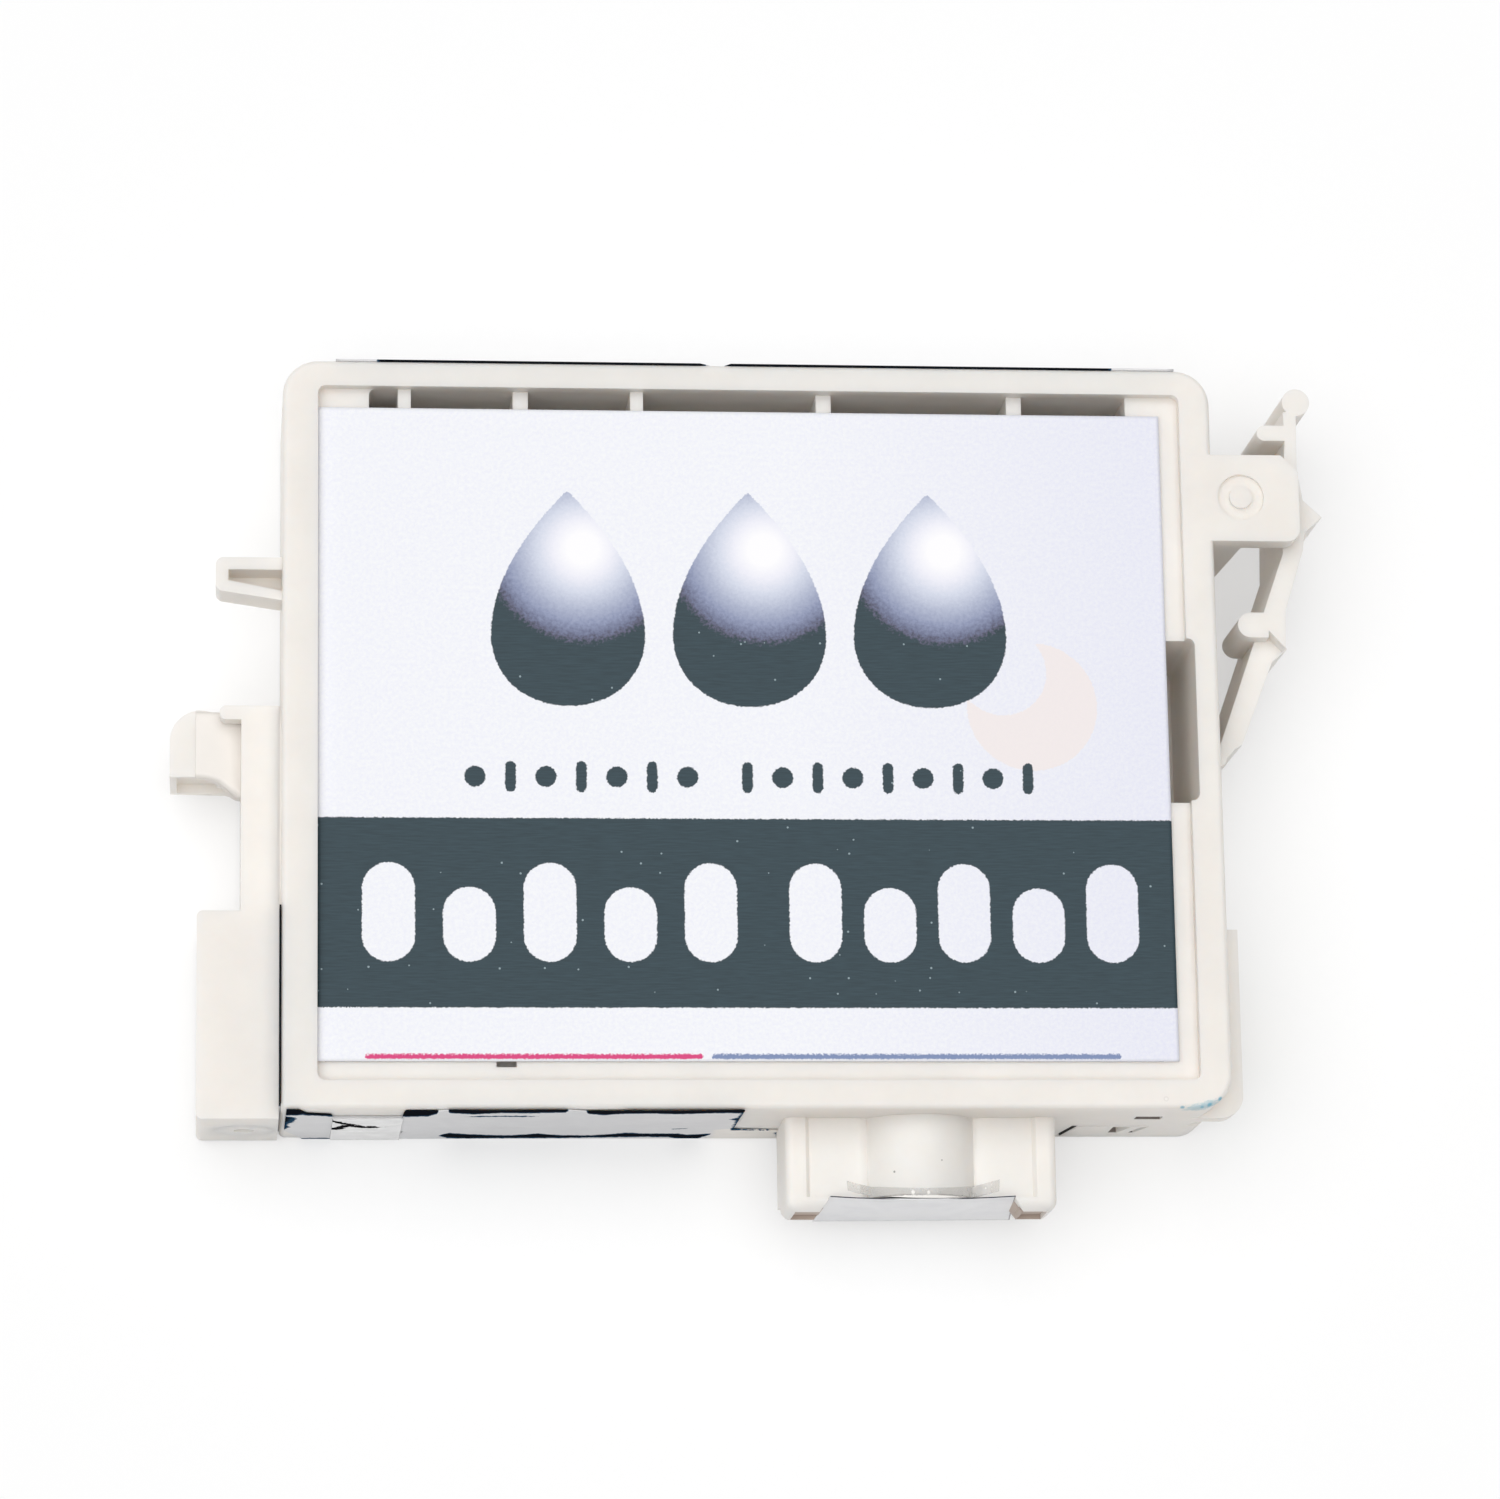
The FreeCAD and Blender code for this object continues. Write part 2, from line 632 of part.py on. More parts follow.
pad(case, "port_lobes", "XY", port_lobe_low, port_rib_high,
    [(port_left, port_end), (port_left, port_end - port_lobe), (inner_left - port_lobe_slant, port_end - port_lobe),
     (inner_left, port_end)],
    [(inner_right, port_end), (inner_right + port_lobe_slant, port_end - port_lobe),
     (port_right, port_end - port_lobe), (port_right, port_end)])
fillet(case, "port_rib_edges", port_rounding, "XZ", [(port_left, port_rib_high), (port_right, port_rib_high)])
fillet(case, "lobe_corners", port_lobe * port_lobe_corner_share, "XY",
       [(port_left, port_end - port_lobe), (port_right, port_end - port_lobe)])
lobe_ceiling = port_rib_high - port_lobe_skin
pocket(case, "lobe_hollows", "XZ", port_end - port_lobe, port_end - port_lobe + port_lobe_recess,
       rectangle(port_left + port_lobe_wall, inner_left, port_lobe_low, lobe_ceiling),
       rectangle(inner_right, port_right - port_lobe_wall, port_lobe_low, lobe_ceiling))
hollow_low = port_low + side_hollow_wall
hollow_high = port_panel_high - side_hollow_wall
pocket(case, "side_hollows", "XZ", port_end, port_end + side_hollow_depth,
       rectangle(port_left + port_rib_width, port_x - barrel_radius - side_hollow_wall / 2, hollow_low, hollow_high),
       rectangle(port_x + barrel_radius + side_hollow_wall / 2, port_right - port_rib_width, hollow_low, hollow_high))
pocket(case, "port_bore", "XZ", port_end, channel_end, circle(port_x, barrel_z, bore_radius))
pocket(case, "filter_chamber", "XZ", channel_end, bore_inner_end, circle(port_x, barrel_z, bore_radius - filter_step))
pocket(case, "port_riser", "XY", back, barrel_z, circle(port_x, bore_inner_end - channel_width / 2, riser_radius))

# The case: squarer corner below the seam, and the slot, seam, slanted gap and latch window in the bottom wall
pad(case, "lower_corner", "XY", back, seam_high - seam_height,
    rectangle(right - corner_radius, right, bottom, bottom + corner_radius))
fillet(case, "foot_corner", foot_corner_radius, "XY", [(right, bottom)])
end_slot_right = right - end_slot_from_right
seam_left = right - seam_from_right
window_right = right - window_from_right
pocket(case, "end_slot", "XZ", bottom, bottom + side_cut_depth,
       rectangle(end_slot_right - end_slot_length, end_slot_right, end_slot_low, end_slot_low + end_slot_height))
pocket(case, "seam", "XZ", bottom, bottom + seam_depth,
       rectangle(seam_left, seam_left + seam_length, seam_high - seam_height, seam_high))
pocket(case, "slanted_gap", "XZ", bottom, bottom + side_cut_depth,
       [(seam_left - gap_slant, gap_low), (seam_left - gap_slant + gap_width, gap_low),
        (seam_left + gap_width, seam_high), (seam_left, seam_high)])
window_left = window_right - window_length
pocket(case, "latch_windows", "XZ", bottom, bottom + side_cut_depth,
       [(window_left, window_low), (window_right - gap_slant - gap_width - window_bar, window_low),
        (window_right - gap_width - window_bar, window_high), (window_left, window_high)],
       [(window_right - gap_slant - gap_width, window_low), (window_right - gap_slant, window_low),
        (window_right, window_high), (window_right - gap_width, window_high)])

# The case: shelf on the right, and the recess below it for the memory board and its chip
pad(case, "board_shelf", "XY", shelf_low, shelf_low + shelf_thickness,
    rectangle(right - corner_radius, right + shelf_reach, bottom, shelf_end))
fillet(case, "shelf_corner", shelf_corner_radius, "XY", [(right + shelf_reach, bottom)])
board_top = shelf_end - board_from_shelf_end
board_bottom = board_top - board_length
board_high = shelf_low - board_from_shelf
board_low = board_high - board_width
board_left = right - board_thickness - contact_thickness
pocket(case, "board_recess", "YZ", board_left, right,
       rectangle(board_bottom - board_clearance, board_top + board_clearance,
                 board_low - board_clearance, board_high + board_clearance))
resin_y = (board_top + board_bottom) / 2
resin_z = (board_low + board_high) / 2
pocket(case, "resin_recess", "YZ", board_left - resin_height - board_clearance, board_left,
       circle(resin_y, resin_z, resin_radius + board_clearance))

# The case: holes for the air valve block's pegs and the breather with its passage
upper_peg_y = bar_top - upper_peg_drop
lower_peg_y = block_bottom + lower_peg_at
pocket(case, "peg_holes", "YZ", left - locating_peg_length, left + locating_peg_length,
       circle(upper_peg_y, peg_z, locating_peg_radius + peg_clearance),
       circle(lower_peg_y, peg_z, locating_peg_radius + peg_clearance))
pocket(case, "breather_recess", "YZ", left - breather_thickness, left + breather_thickness,
       circle(air_passage_y, air_z, breather_radius + peg_clearance))
pocket(case, "breather_passage", "YZ", left, chamber_left, circle(air_passage_y, air_z, air_passage_radius))

# Clear film welded over the chambers, and the paper label over it
chamber_film = new_body("chamber_film")
pad(chamber_film, "film_sheet", "XY", ledge, ledge + film_thickness,
    rectangle(chamber_left - film_overlap, chamber_right + film_overlap,
              chamber_bottom - film_overlap, chamber_top + film_overlap))

paper_label = new_body("paper_label")
label_low = ledge + film_thickness
label_left = recess_left + label_left_margin
label_right = recess_right - label_right_margin
label_bottom = recess_bottom + label_bottom_margin
label_top = recess_top - label_top_margin
pad(paper_label, "label_sheet", "XY", label_low, label_low + label_thickness,
    rectangle(label_left, label_right, label_bottom, label_top))

# Pressure membrane, its spring and the cover that clamps its rim
membrane_top = membrane_seat + membrane_thickness
membrane = new_body("pressure_membrane")
pad(membrane, "membrane_disc", "XY", membrane_seat, membrane_top,
    circle(bay_x, bay_y, bay_radius - running_gap))
pad(membrane, "membrane_boss", "XY", valve_seat_top + seat_clearance, membrane_seat,
    circle(bay_x, bay_y, membrane_boss_radius))

cover_top = ledge - cover_gap
valve_cover = new_body("pressure_valve_cover")
pad(valve_cover, "cover_cup", "XY", membrane_top, cover_top, circle(bay_x, bay_y, bay_radius - running_gap))
pocket(valve_cover, "cover_hollow", "XY", membrane_top - cover_wall, cover_top - cover_wall,
       circle(bay_x, bay_y, bay_radius - running_gap - cover_wall))
pocket(valve_cover, "cover_holes", "XY", cover_top - cover_wall, cover_top,
       *[circle(bay_x + side * bay_radius / 2, bay_y, cover_hole_radius) for side in (-1, 1)])


def coil_spring(name, radius, turns, length, place, turn):
    """A coil of round wire, drawn upright and then turned and moved to its place."""
    helix = document.addObject("Part::Helix", f"{name}_helix")
    bind(helix, "Radius", radius)
    bind(helix, "Height", length)
    bind(helix, "Pitch", length / turns)
    helix.SegmentLength = 1
    document.recompute()
    wire = document.addObject("Part::Circle", f"{name}_wire")
    bind(wire, "Radius", spring_wire_radius)
    wire.Placement = FreeCAD.Placement(FreeCAD.Vector(), FreeCAD.Rotation(FreeCAD.Vector(1, 0, 0), 90))
    bind(wire, "Placement.Base.x", radius)
    spring = document.addObject("Part::Sweep", name)
    spring.Label = name
    spring.Sections = [wire]
    spring.Spine = (helix, [f"Edge{number}" for number in range(1, len(helix.Shape.Edges) + 1)])
    spring.Solid = True
    spring.Frenet = True
    spring.Placement = FreeCAD.Placement(FreeCAD.Vector(), turn)
    for axis, amount in zip("xyz", place):
        bind(spring, f"Placement.Base.{axis}", amount)
    document.recompute()
    return spring


UPRIGHT = FreeCAD.Rotation()
ALONG_Y = FreeCAD.Rotation(FreeCAD.Vector(1, 0, 0), -90)
pressure_spring = coil_spring("pressure_spring", pressure_spring_radius, pressure_spring_turns,
                              cover_top - membrane_top - cover_wall - 2 * spring_wire_radius,
                              (bay_x, bay_y, membrane_top + spring_wire_radius), UPRIGHT)

# Supply port: rubber seal, sliding valve, its spring and the filter
seal_end = port_end + seal_length
supply_seal = new_body("supply_seal")
pad(supply_seal, "seal_ring", "XZ", port_end, seal_end,
    circle(port_x, barrel_z, bore_radius), circle(port_x, barrel_z, seal_bore_radius))

valve_back = seal_end + valve_head
supply_valve = new_body("supply_valve")
pad(supply_valve, "valve_disc", "XZ", seal_end, valve_back, circle(port_x, barrel_z, valve_radius))
pad(supply_valve, "valve_skirt", "XZ", valve_back, valve_back + valve_skirt_length,
    circle(port_x, barrel_z, valve_radius), circle(port_x, barrel_z, valve_radius - valve_skirt_wall))

filter_front = channel_end - filter_thickness
supply_filter = new_body("supply_filter")
pad(supply_filter, "filter_disc", "XZ", filter_front, channel_end, circle(port_x, barrel_z, bore_radius))

supply_spring = coil_spring("supply_spring", supply_spring_radius, supply_spring_turns,
                            filter_front - valve_back - 2 * spring_wire_radius,
                            (port_x, valve_back + spring_wire_radius, barrel_z), ALONG_Y)

# Port seal film: a plate over the end, folded onto the front of the barrel
port_film = new_body("port_seal_film")
plate_left = inner_left + port_lobe_slant / 2
plate_right = inner_right
pad(port_film, "end_plate", "XZ", port_end - film_thickness, port_end,
    rectangle(plate_left, plate_right, port_low, port_panel_high))
pad(port_film, "end_round", "XZ", port_end - film_thickness, port_end,
    circle(port_x, barrel_z, barrel_radius + film_thickness))
pad(port_film, "front_strip", "XZ", port_end - film_thickness, port_end + strip_width,
    circle(port_x, barrel_z, barrel_radius + film_thickness), circle(port_x, barrel_z, barrel_radius))
pocket(port_film, "strip_trim", "XZ", port_end, port_end + strip_width,
       rectangle(port_x - 2 * barrel_radius, port_x + 2 * barrel_radius, barrel_z - 2 * barrel_radius,
                 barrel_z + strip_foot_rise))

# Memory board with its contacts and the chip under its resin
memory_board = new_body("memory_board")
board_right = board_left + board_thickness
pad(memory_board, "board_plate", "YZ", board_left, board_right,
    rectangle(board_bottom, board_top, board_low, board_high))

board_contacts = document.addObject("Part::Compound", "board_contacts")
board_contacts.Label = "board_contacts"
contacts = []
for line, count in ((-1, 4), (1, 5)):
    for i in range(count):
        contact = document.addObject("Part::Box", "contact")
        bind(contact, "Length", contact_thickness)
        bind(contact, "Width", contact_width)
        bind(contact, "Height", contact_length)
        bind(contact, "Placement.Base.x", board_right)
        bind(contact, "Placement.Base.y", resin_y + (i - (count - 1) / 2) * contact_pitch - contact_width / 2)
        bind(contact, "Placement.Base.z", resin_z + line * contact_row_offset - contact_length / 2)
        contacts.append(contact)
board_contacts.Links = contacts

memory_chip = new_body("memory_chip")
pad(memory_chip, "resin_drop", "YZ", board_left - resin_height, board_left, circle(resin_y, resin_z, resin_radius))
document.recompute()
dress(memory_chip, "Fillet", "resin_edge", resin_rounding,
      [f"Edge{number}" for number, edge in enumerate(memory_chip.Shape.Edges, 1)
       if abs(edge.BoundBox.XMax - (board_left - resin_height).value) < NEAR])

# Latch lever: head, pegs and teeth on one springy arm with a rounded root
latch_lever = new_body("latch_lever")
lever_high = lug_low - lever_gap
arm_high = lever_high - lever_step
root_x = right + root_gap + root_radius
UPPER_ARM = [(4.85, 23.55), (4.90, 21.55), (4.60, 17.45), (4.50, 13.78), (3.06, 9.73), (3.02, 8.85), (4.45, 7.30),
             (4.54, 9.88), (5.85, 14.00), (6.02, 15.24), (7.21, 16.29), (5.97, 17.45), (5.65, 19.52), (5.72, 23.55)]
LOWER_ARM = [(3.15, 9.75), (2.73, 8.37), (0.15, 1.19), (-0.25, 0.35), (0.30, -0.10), (1.10, 0.78), (1.53, 1.00),
             (3.75, 6.67), (4.79, 7.55), (4.45, 8.15), (4.51, 9.85)]
HEAD = (5.73, 24.22)
UPPER_PEG = (3.55, 22.08, 0.53, 1.7)
LOWER_PEG = (2.15, 8.87, 0.85, 1.2)


def from_root(points):
    """Places a list of points given from the lever's root."""
    return [(root_x + x, root_y + y) for x, y in points]


pad(latch_lever, "upper_arm", "XY", lever_low, lever_high, from_root(UPPER_ARM))
pad(latch_lever, "lower_arm", "XY", lever_low, arm_high, from_root(LOWER_ARM))
pad(latch_lever, "lever_head", "XY", lever_low, lever_high, circle(root_x + HEAD[0], root_y + HEAD[1], head_radius))
for name, (x, y, radius, peg_reach) in (("upper_peg", UPPER_PEG), ("lower_peg", LOWER_PEG)):
    pad(latch_lever, f"{name}_end", "XY", lever_high - peg_length, lever_high,
        circle(root_x + x, root_y + y, radius))
    pad(latch_lever, f"{name}_neck", "XY", lever_high - peg_length, lever_high,
        rectangle(root_x + x, root_x + x + peg_reach, root_y + y - radius, root_y + y + radius))
pad(latch_lever, "root", "XY", lever_low, arm_high, circle(root_x, root_y, root_radius))

# Air valve block: bar, block, finger and hook in one moulding
air_block = new_body("air_valve_block")
bar_left = block_right - bar_width
block_left = block_right - block_width
pad(air_block, "bar_and_block", "XY", block_low, block_high,
    [(block_right, block_bottom), (block_right, bar_top), (bar_left, bar_top), (bar_left, block_top),
     (block_left, block_top), (block_left, block_bottom)])
fillet(air_block, "block_corners", block_rounding, "XY", [(block_left, block_bottom), (block_left, block_top)])
hook_left = bar_left - hook_reach
hook_bottom = bar_top - hook_width
HOOK_FRONT = [(0.36, 1.0), (0.5, 0.955), (0.62, 0.87), (0.71, 0.755), (0.795, 0.555), (0.88, 0.315), (0.95, 0.13)]
HOOK_BACK = [(0.925, 0.15), (0.84, 0.68), (0.775, 0.85)]
HOOK_PIP = (0.71, 0.42)


def between(start, end, share):
    """The place at one share of the way between two places."""
    return start + (end - start) * share


def hook_curve(shares, foot, head, inset):
    """The places along one face of the hook, from shares of its reach and height, drawn in by the inset."""
    return [(between(hook_left, bar_left, across) - inset, between(foot, head, up) - inset) for across, up in shares]


hook_front = hook_curve(HOOK_FRONT, hook_foot_high, hook_high, 0)
pad(air_block, "hook", "XZ", hook_bottom, bar_top,
    [(hook_left, hook_low), (hook_left, hook_high)] + hook_front
    + [(bar_left, hook_foot_high), (bar_left + block_rounding, hook_foot_high), (bar_left + block_rounding, block_low),
       (bar_left, block_low)]
    + hook_curve(HOOK_BACK, block_low, hook_low, 0))
fillet(air_block, "hook_bends", hook_bend_radius, "XZ", hook_front[:5])
fillet(air_block, "hook_corner", hook_corner_radius, "XY", [(hook_left, bar_top)])
pocket(air_block, "hook_step", "XY", hook_high - hook_step, hook_high,
       rectangle(hook_left, hook_left + hook_step_length, hook_bottom, bar_top))
recess_low = hook_low + hook_recess_wall
pocket(air_block, "hook_recess", "XZ", hook_bottom, hook_bottom + hook_recess_depth,
       [(hook_left + hook_recess_wall, recess_low),
        (hook_left + hook_recess_wall, hook_high - hook_step - hook_recess_wall)]
       + hook_curve(HOOK_FRONT[:6], hook_foot_high, hook_high - hook_step, hook_recess_wall)
       + [(between(hook_left, bar_left, HOOK_BACK[2][0]), recess_low)])
pad(air_block, "hook_pip", "XZ", hook_bottom, hook_bottom + hook_recess_depth,
    circle(between(hook_left, bar_left, HOOK_PIP[0]), between(hook_low, hook_high, HOOK_PIP[1]), hook_pip_radius))
pad(air_block, "finger", "XY", hook_high, block_high,
    rectangle(bar_left - finger_length, bar_left + block_rounding, bar_top - finger_width, bar_top))
fillet(air_block, "finger_end", finger_rounding, "XY",
       [(bar_left - finger_length, bar_top), (bar_left - finger_length, bar_top - finger_width)])
pad(air_block, "finger_web", "XY", hook_low, hook_high,
    rectangle(bar_left - finger_length + finger_rounding, bar_left + block_rounding, bar_top - finger_width / 2, bar_top))
pad(air_block, "locating_pegs", "YZ", block_right, block_right + locating_peg_length,
    circle(upper_peg_y, peg_z, locating_peg_radius), circle(lower_peg_y, peg_z, locating_peg_radius))
air_axis_x = block_right - air_x
cap_inner_end = block_bottom + air_cap_length
pocket(air_block, "cap_seat", "XZ", block_bottom, cap_inner_end, circle(air_axis_x, air_z, air_cap_radius))
pocket(air_block, "air_bore", "XZ", cap_inner_end, cap_inner_end + air_bore_length,
       circle(air_axis_x, air_z, air_bore_radius))
pocket(air_block, "air_passage", "YZ", air_axis_x, block_right, circle(air_passage_y, air_z, air_passage_radius))

# Air valve: cap, rubber ring, plunger and spring in the block, and the breather in the case's wall
air_cap = new_body("air_valve_cap")
pad(air_cap, "cap_disc", "XZ", block_bottom, cap_inner_end, circle(air_axis_x, air_z, air_cap_radius),
    circle(air_axis_x, air_z, air_stem_radius + running_gap))

air_seal_end = cap_inner_end + air_seal_thickness
air_seal = new_body("air_valve_seal")
pad(air_seal, "seal_washer", "XZ", cap_inner_end, air_seal_end, circle(air_axis_x, air_z, air_head_radius),
    circle(air_axis_x, air_z, air_stem_radius + running_gap))

air_head_end = air_seal_end + air_head_length
air_plunger = new_body("air_valve_plunger")
pad(air_plunger, "plunger_head", "XZ", air_seal_end, air_head_end, circle(air_axis_x, air_z, air_head_radius))
pad(air_plunger, "plunger_stem", "XZ", block_bottom + air_stem_recess, air_seal_end,
    circle(air_axis_x, air_z, air_stem_radius))

air_spring = coil_spring("air_valve_spring", air_spring_radius, air_spring_turns,
                         cap_inner_end + air_bore_length - air_head_end - 2 * spring_wire_radius,
                         (air_axis_x, air_head_end + spring_wire_radius, air_z), ALONG_Y)

breather = new_body("breather_membrane")
pad(breather, "breather_disc", "YZ", left, left + breather_thickness, circle(air_passage_y, air_z, breather_radius))

# Wrap film: back panel with flaps folded up the top, bottom and left edges
wrap_film = new_body("wrap_film")
flap_high = case_depth - wrap_below_front
pad(wrap_film, "back_panel", "XY", 0, wrap_thickness,
    [(left, bottom), (right - corner_radius, bottom), (right, bottom + corner_radius), (right, top - corner_radius),
     (right - corner_radius, top), (left + corner_radius, top), (left, top - corner_radius)])
pad(wrap_film, "top_flap", "XZ", top, top + wrap_thickness,
    rectangle(left + wrap_top_start, right - corner_radius, 0, flap_high))
wrap_end = port_left - wrap_to_port
pad(wrap_film, "bottom_flap", "XZ", bottom - wrap_thickness, bottom,
    [(left + tight_corner_radius, 0), (wrap_end - wrap_cut, 0), (wrap_end, flap_high),
     (left + tight_corner_radius, flap_high)])
pad(wrap_film, "left_flap", "YZ", left - wrap_thickness, left,
    rectangle(bottom + tight_corner_radius, block_top - wrap_under_bar, 0, flap_high))
pocket(wrap_film, "air_window", "YZ", left - wrap_thickness, left, circle(air_passage_y, air_z, air_passage_radius))

tape_patch = new_body("tape_patch")
tape_back = bottom - wrap_thickness
tape_left = left + tape_from_left
pad(tape_patch, "tape_sheet", "XZ", tape_back - tape_thickness, tape_back,
    rectangle(tape_left, tape_left + tape_length, tape_low, tape_high))

PIECES = [case, chamber_film, paper_label, membrane, valve_cover, pressure_spring, supply_seal, supply_valve,
          supply_filter, supply_spring, port_film, memory_board, board_contacts, memory_chip, latch_lever, air_block,
          air_cap, air_seal, air_plunger, air_spring, breather, wrap_film, tape_patch]

document.recompute()
for thing in document.Objects:
    if "Invalid" in thing.State or "Error" in thing.State:
        raise RuntimeError(f"{thing.Name} failed: {thing.State}")
for piece in PIECES:
    if piece.Shape.isNull() or not piece.Shape.isValid():
        raise RuntimeError(f"{piece.Label} has no valid shape")

os.makedirs("parts", exist_ok=True)
for piece in PIECES:
    piece.Shape.exportStep(f"parts/{piece.Label}.step")
    print(f"{piece.Label:24s} {len(piece.Shape.Solids)} solid, {piece.Shape.Volume:9.2f} mm3")
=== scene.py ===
import functools
import math

import bmesh
import bpy
import numpy as np
from mathutils import Euler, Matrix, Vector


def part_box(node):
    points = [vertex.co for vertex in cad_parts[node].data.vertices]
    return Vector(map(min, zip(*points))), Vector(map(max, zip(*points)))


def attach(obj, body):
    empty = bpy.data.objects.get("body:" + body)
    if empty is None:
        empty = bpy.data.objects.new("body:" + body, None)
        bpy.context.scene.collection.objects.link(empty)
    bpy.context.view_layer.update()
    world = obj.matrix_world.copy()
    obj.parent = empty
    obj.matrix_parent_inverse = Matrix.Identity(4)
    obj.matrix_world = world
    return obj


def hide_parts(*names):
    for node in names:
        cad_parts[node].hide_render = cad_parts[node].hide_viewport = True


bl_info = {
    "name": "Flat Ink Cartridge",
    "version": (1, 0, 0),
    "blender": (4, 5, 0),
    "location": "3D View > Sidebar > Cartridge",
    "description": "Surfaces and finishes of a flat ink cartridge lying on its back",
    "category": "Object",
}

MM = 0.001
# The Mix node's two colour inputs and its colour output
FIRST, SECOND, MIXED = 6, 7, 2
# The range that a noise texture mostly stays in
MIDDLE = {"From Min": 0.3, "From Max": 0.7}

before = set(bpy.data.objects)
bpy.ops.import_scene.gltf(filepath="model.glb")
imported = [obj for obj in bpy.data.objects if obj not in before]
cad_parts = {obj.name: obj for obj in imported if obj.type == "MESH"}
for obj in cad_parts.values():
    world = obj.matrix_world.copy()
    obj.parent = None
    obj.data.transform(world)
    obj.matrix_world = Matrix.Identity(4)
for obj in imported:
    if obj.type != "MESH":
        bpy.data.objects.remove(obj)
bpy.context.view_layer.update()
LABEL_LOW, LABEL_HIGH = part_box("paper_label")
WRAP_LOW, WRAP_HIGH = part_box("wrap_film")
TAPE_LOW, TAPE_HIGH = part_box("tape_patch")
SEAL_LOW, SEAL_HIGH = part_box("supply_seal")
CASE_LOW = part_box("case")[0]


class CartridgeSizes(bpy.types.PropertyGroup):
    """Sizes that a user would change, in metres."""

    edge_rounding: bpy.props.FloatProperty(
        name="Edge rounding", description="Radius on the moulded edges", default=0.15 * MM, unit="LENGTH")
    film_crinkle: bpy.props.FloatProperty(
        name="Film crinkle", description="Height of the films' wrinkles", default=0.09 * MM, unit="LENGTH")
    film_thickness: bpy.props.FloatProperty(
        name="Film thickness", description="Thickness of the wrap film", default=0.10 * MM, unit="LENGTH")
    fold_radius: bpy.props.FloatProperty(
        name="Fold radius", description="Radius of the wrap film's folds", default=0.30 * MM, unit="LENGTH")
    label_lift: bpy.props.FloatProperty(
        name="Label lift", description="Rise of the label's corners", default=0.10 * MM, unit="LENGTH")
    drop_spacing: bpy.props.FloatProperty(
        name="Drop spacing", description="Distance between printed drops", default=11.88 * MM, unit="LENGTH")
    drop_height: bpy.props.FloatProperty(
        name="Drop height", description="Height of a printed drop", default=14.49 * MM, unit="LENGTH")


class CartridgeColours(bpy.types.PropertyGroup):
    """Colours that a user would change, as hex sRGB."""

    case_plastic: bpy.props.StringProperty(
        name="Case plastic", description="Moulded case, lever and block", default="F0EBE5")
    label_paper: bpy.props.StringProperty(
        name="Label paper", description="Coated label stock", default="F7F8FB")
    print_slate: bpy.props.StringProperty(
        name="Slate print", description="Dark ink of the band and the drops", default="31434B")
    line_red: bpy.props.StringProperty(
        name="Red line", description="Left line along the label's lower edge", default="D9467F")
    line_blue: bpy.props.StringProperty(
        name="Blue line", description="Right line along the label's lower edge", default="7F8FB4")
    film_silver: bpy.props.StringProperty(
        name="Film silver", description="Silver side of the wrap film", default="E0E0E1")
    ink_smear: bpy.props.StringProperty(
        name="Ink smear", description="Dried ink on the rim", default="4FA3B8")


def linear(hex_colour):
    """Turns a hex sRGB colour into linear RGBA."""
    channels = [int(hex_colour[i:i + 2], 16) / 255 for i in (0, 2, 4)]
    return tuple(c / 12.92 if c <= 0.04045 else ((c + 0.055) / 1.055) ** 2.4 for c in channels) + (1.0,)


def add_node(tree, kind, inputs=None, **settings):
    """Adds a node, makes its settings and fills its inputs from values or from other nodes' outputs."""
    made = tree.nodes.new(kind)
    for name, value in settings.items():
        setattr(made, name, value)
    for name, value in (inputs or {}).items():
        if isinstance(value, bpy.types.NodeSocket):
            tree.links.new(value, made.inputs[name])
        elif isinstance(value, bpy.types.Node):
            tree.links.new(value.outputs[0], made.inputs[name])
        else:
            made.inputs[name].default_value = value
    return made


def new_material(name):
    """An empty node material, a function that adds a node to it, and the place on the object in metres."""
    material = bpy.data.materials.new(name)
    material.use_nodes = True
    tree = material.node_tree
    tree.nodes.clear()
    add = functools.partial(add_node, tree)
    return material, add, add("ShaderNodeTexCoord").outputs["Object"]


def set_ramp(ramp_node, stops):
    """Gives a colour ramp its stops, each a position and a hex colour or a grey level."""
    elements = ramp_node.color_ramp.elements
    while len(elements) < len(stops):
        elements.new(1.0)
    for element, (position, colour) in zip(elements, stops):
        element.position = position
        element.color = linear(colour) if isinstance(colour, str) else (colour, colour, colour, 1.0)
    return ramp_node


# Materials

# Marks on the front of the case, each with x, y, z and radius in millimetres, colour and strength: two dark
# specks, a blister with its pale middle, and the four thicker drops of the dried ink
MARKS = ((8.82, -28.47, 9.27, 0.09, "5A544C", 0.7), (11.89, -27.76, 9.57, 0.06, "5A544C", 0.7),
         (26.24, -24.17, 12.0, 0.20, "D3CEC7", 0.6), (26.24, -24.17, 12.0, 0.13, "F3EFEA", 0.9),
         (27.30, -24.76, 11.9, 0.20, "3A9DBD", 0.7), (28.60, -24.76, 11.9, 0.20, "3A9DBD", 0.6),
         (29.10, -24.58, 11.9, 0.22, "3A9DBD", 0.7), (29.80, -24.17, 11.9, 0.20, "3A9DBD", 0.7))


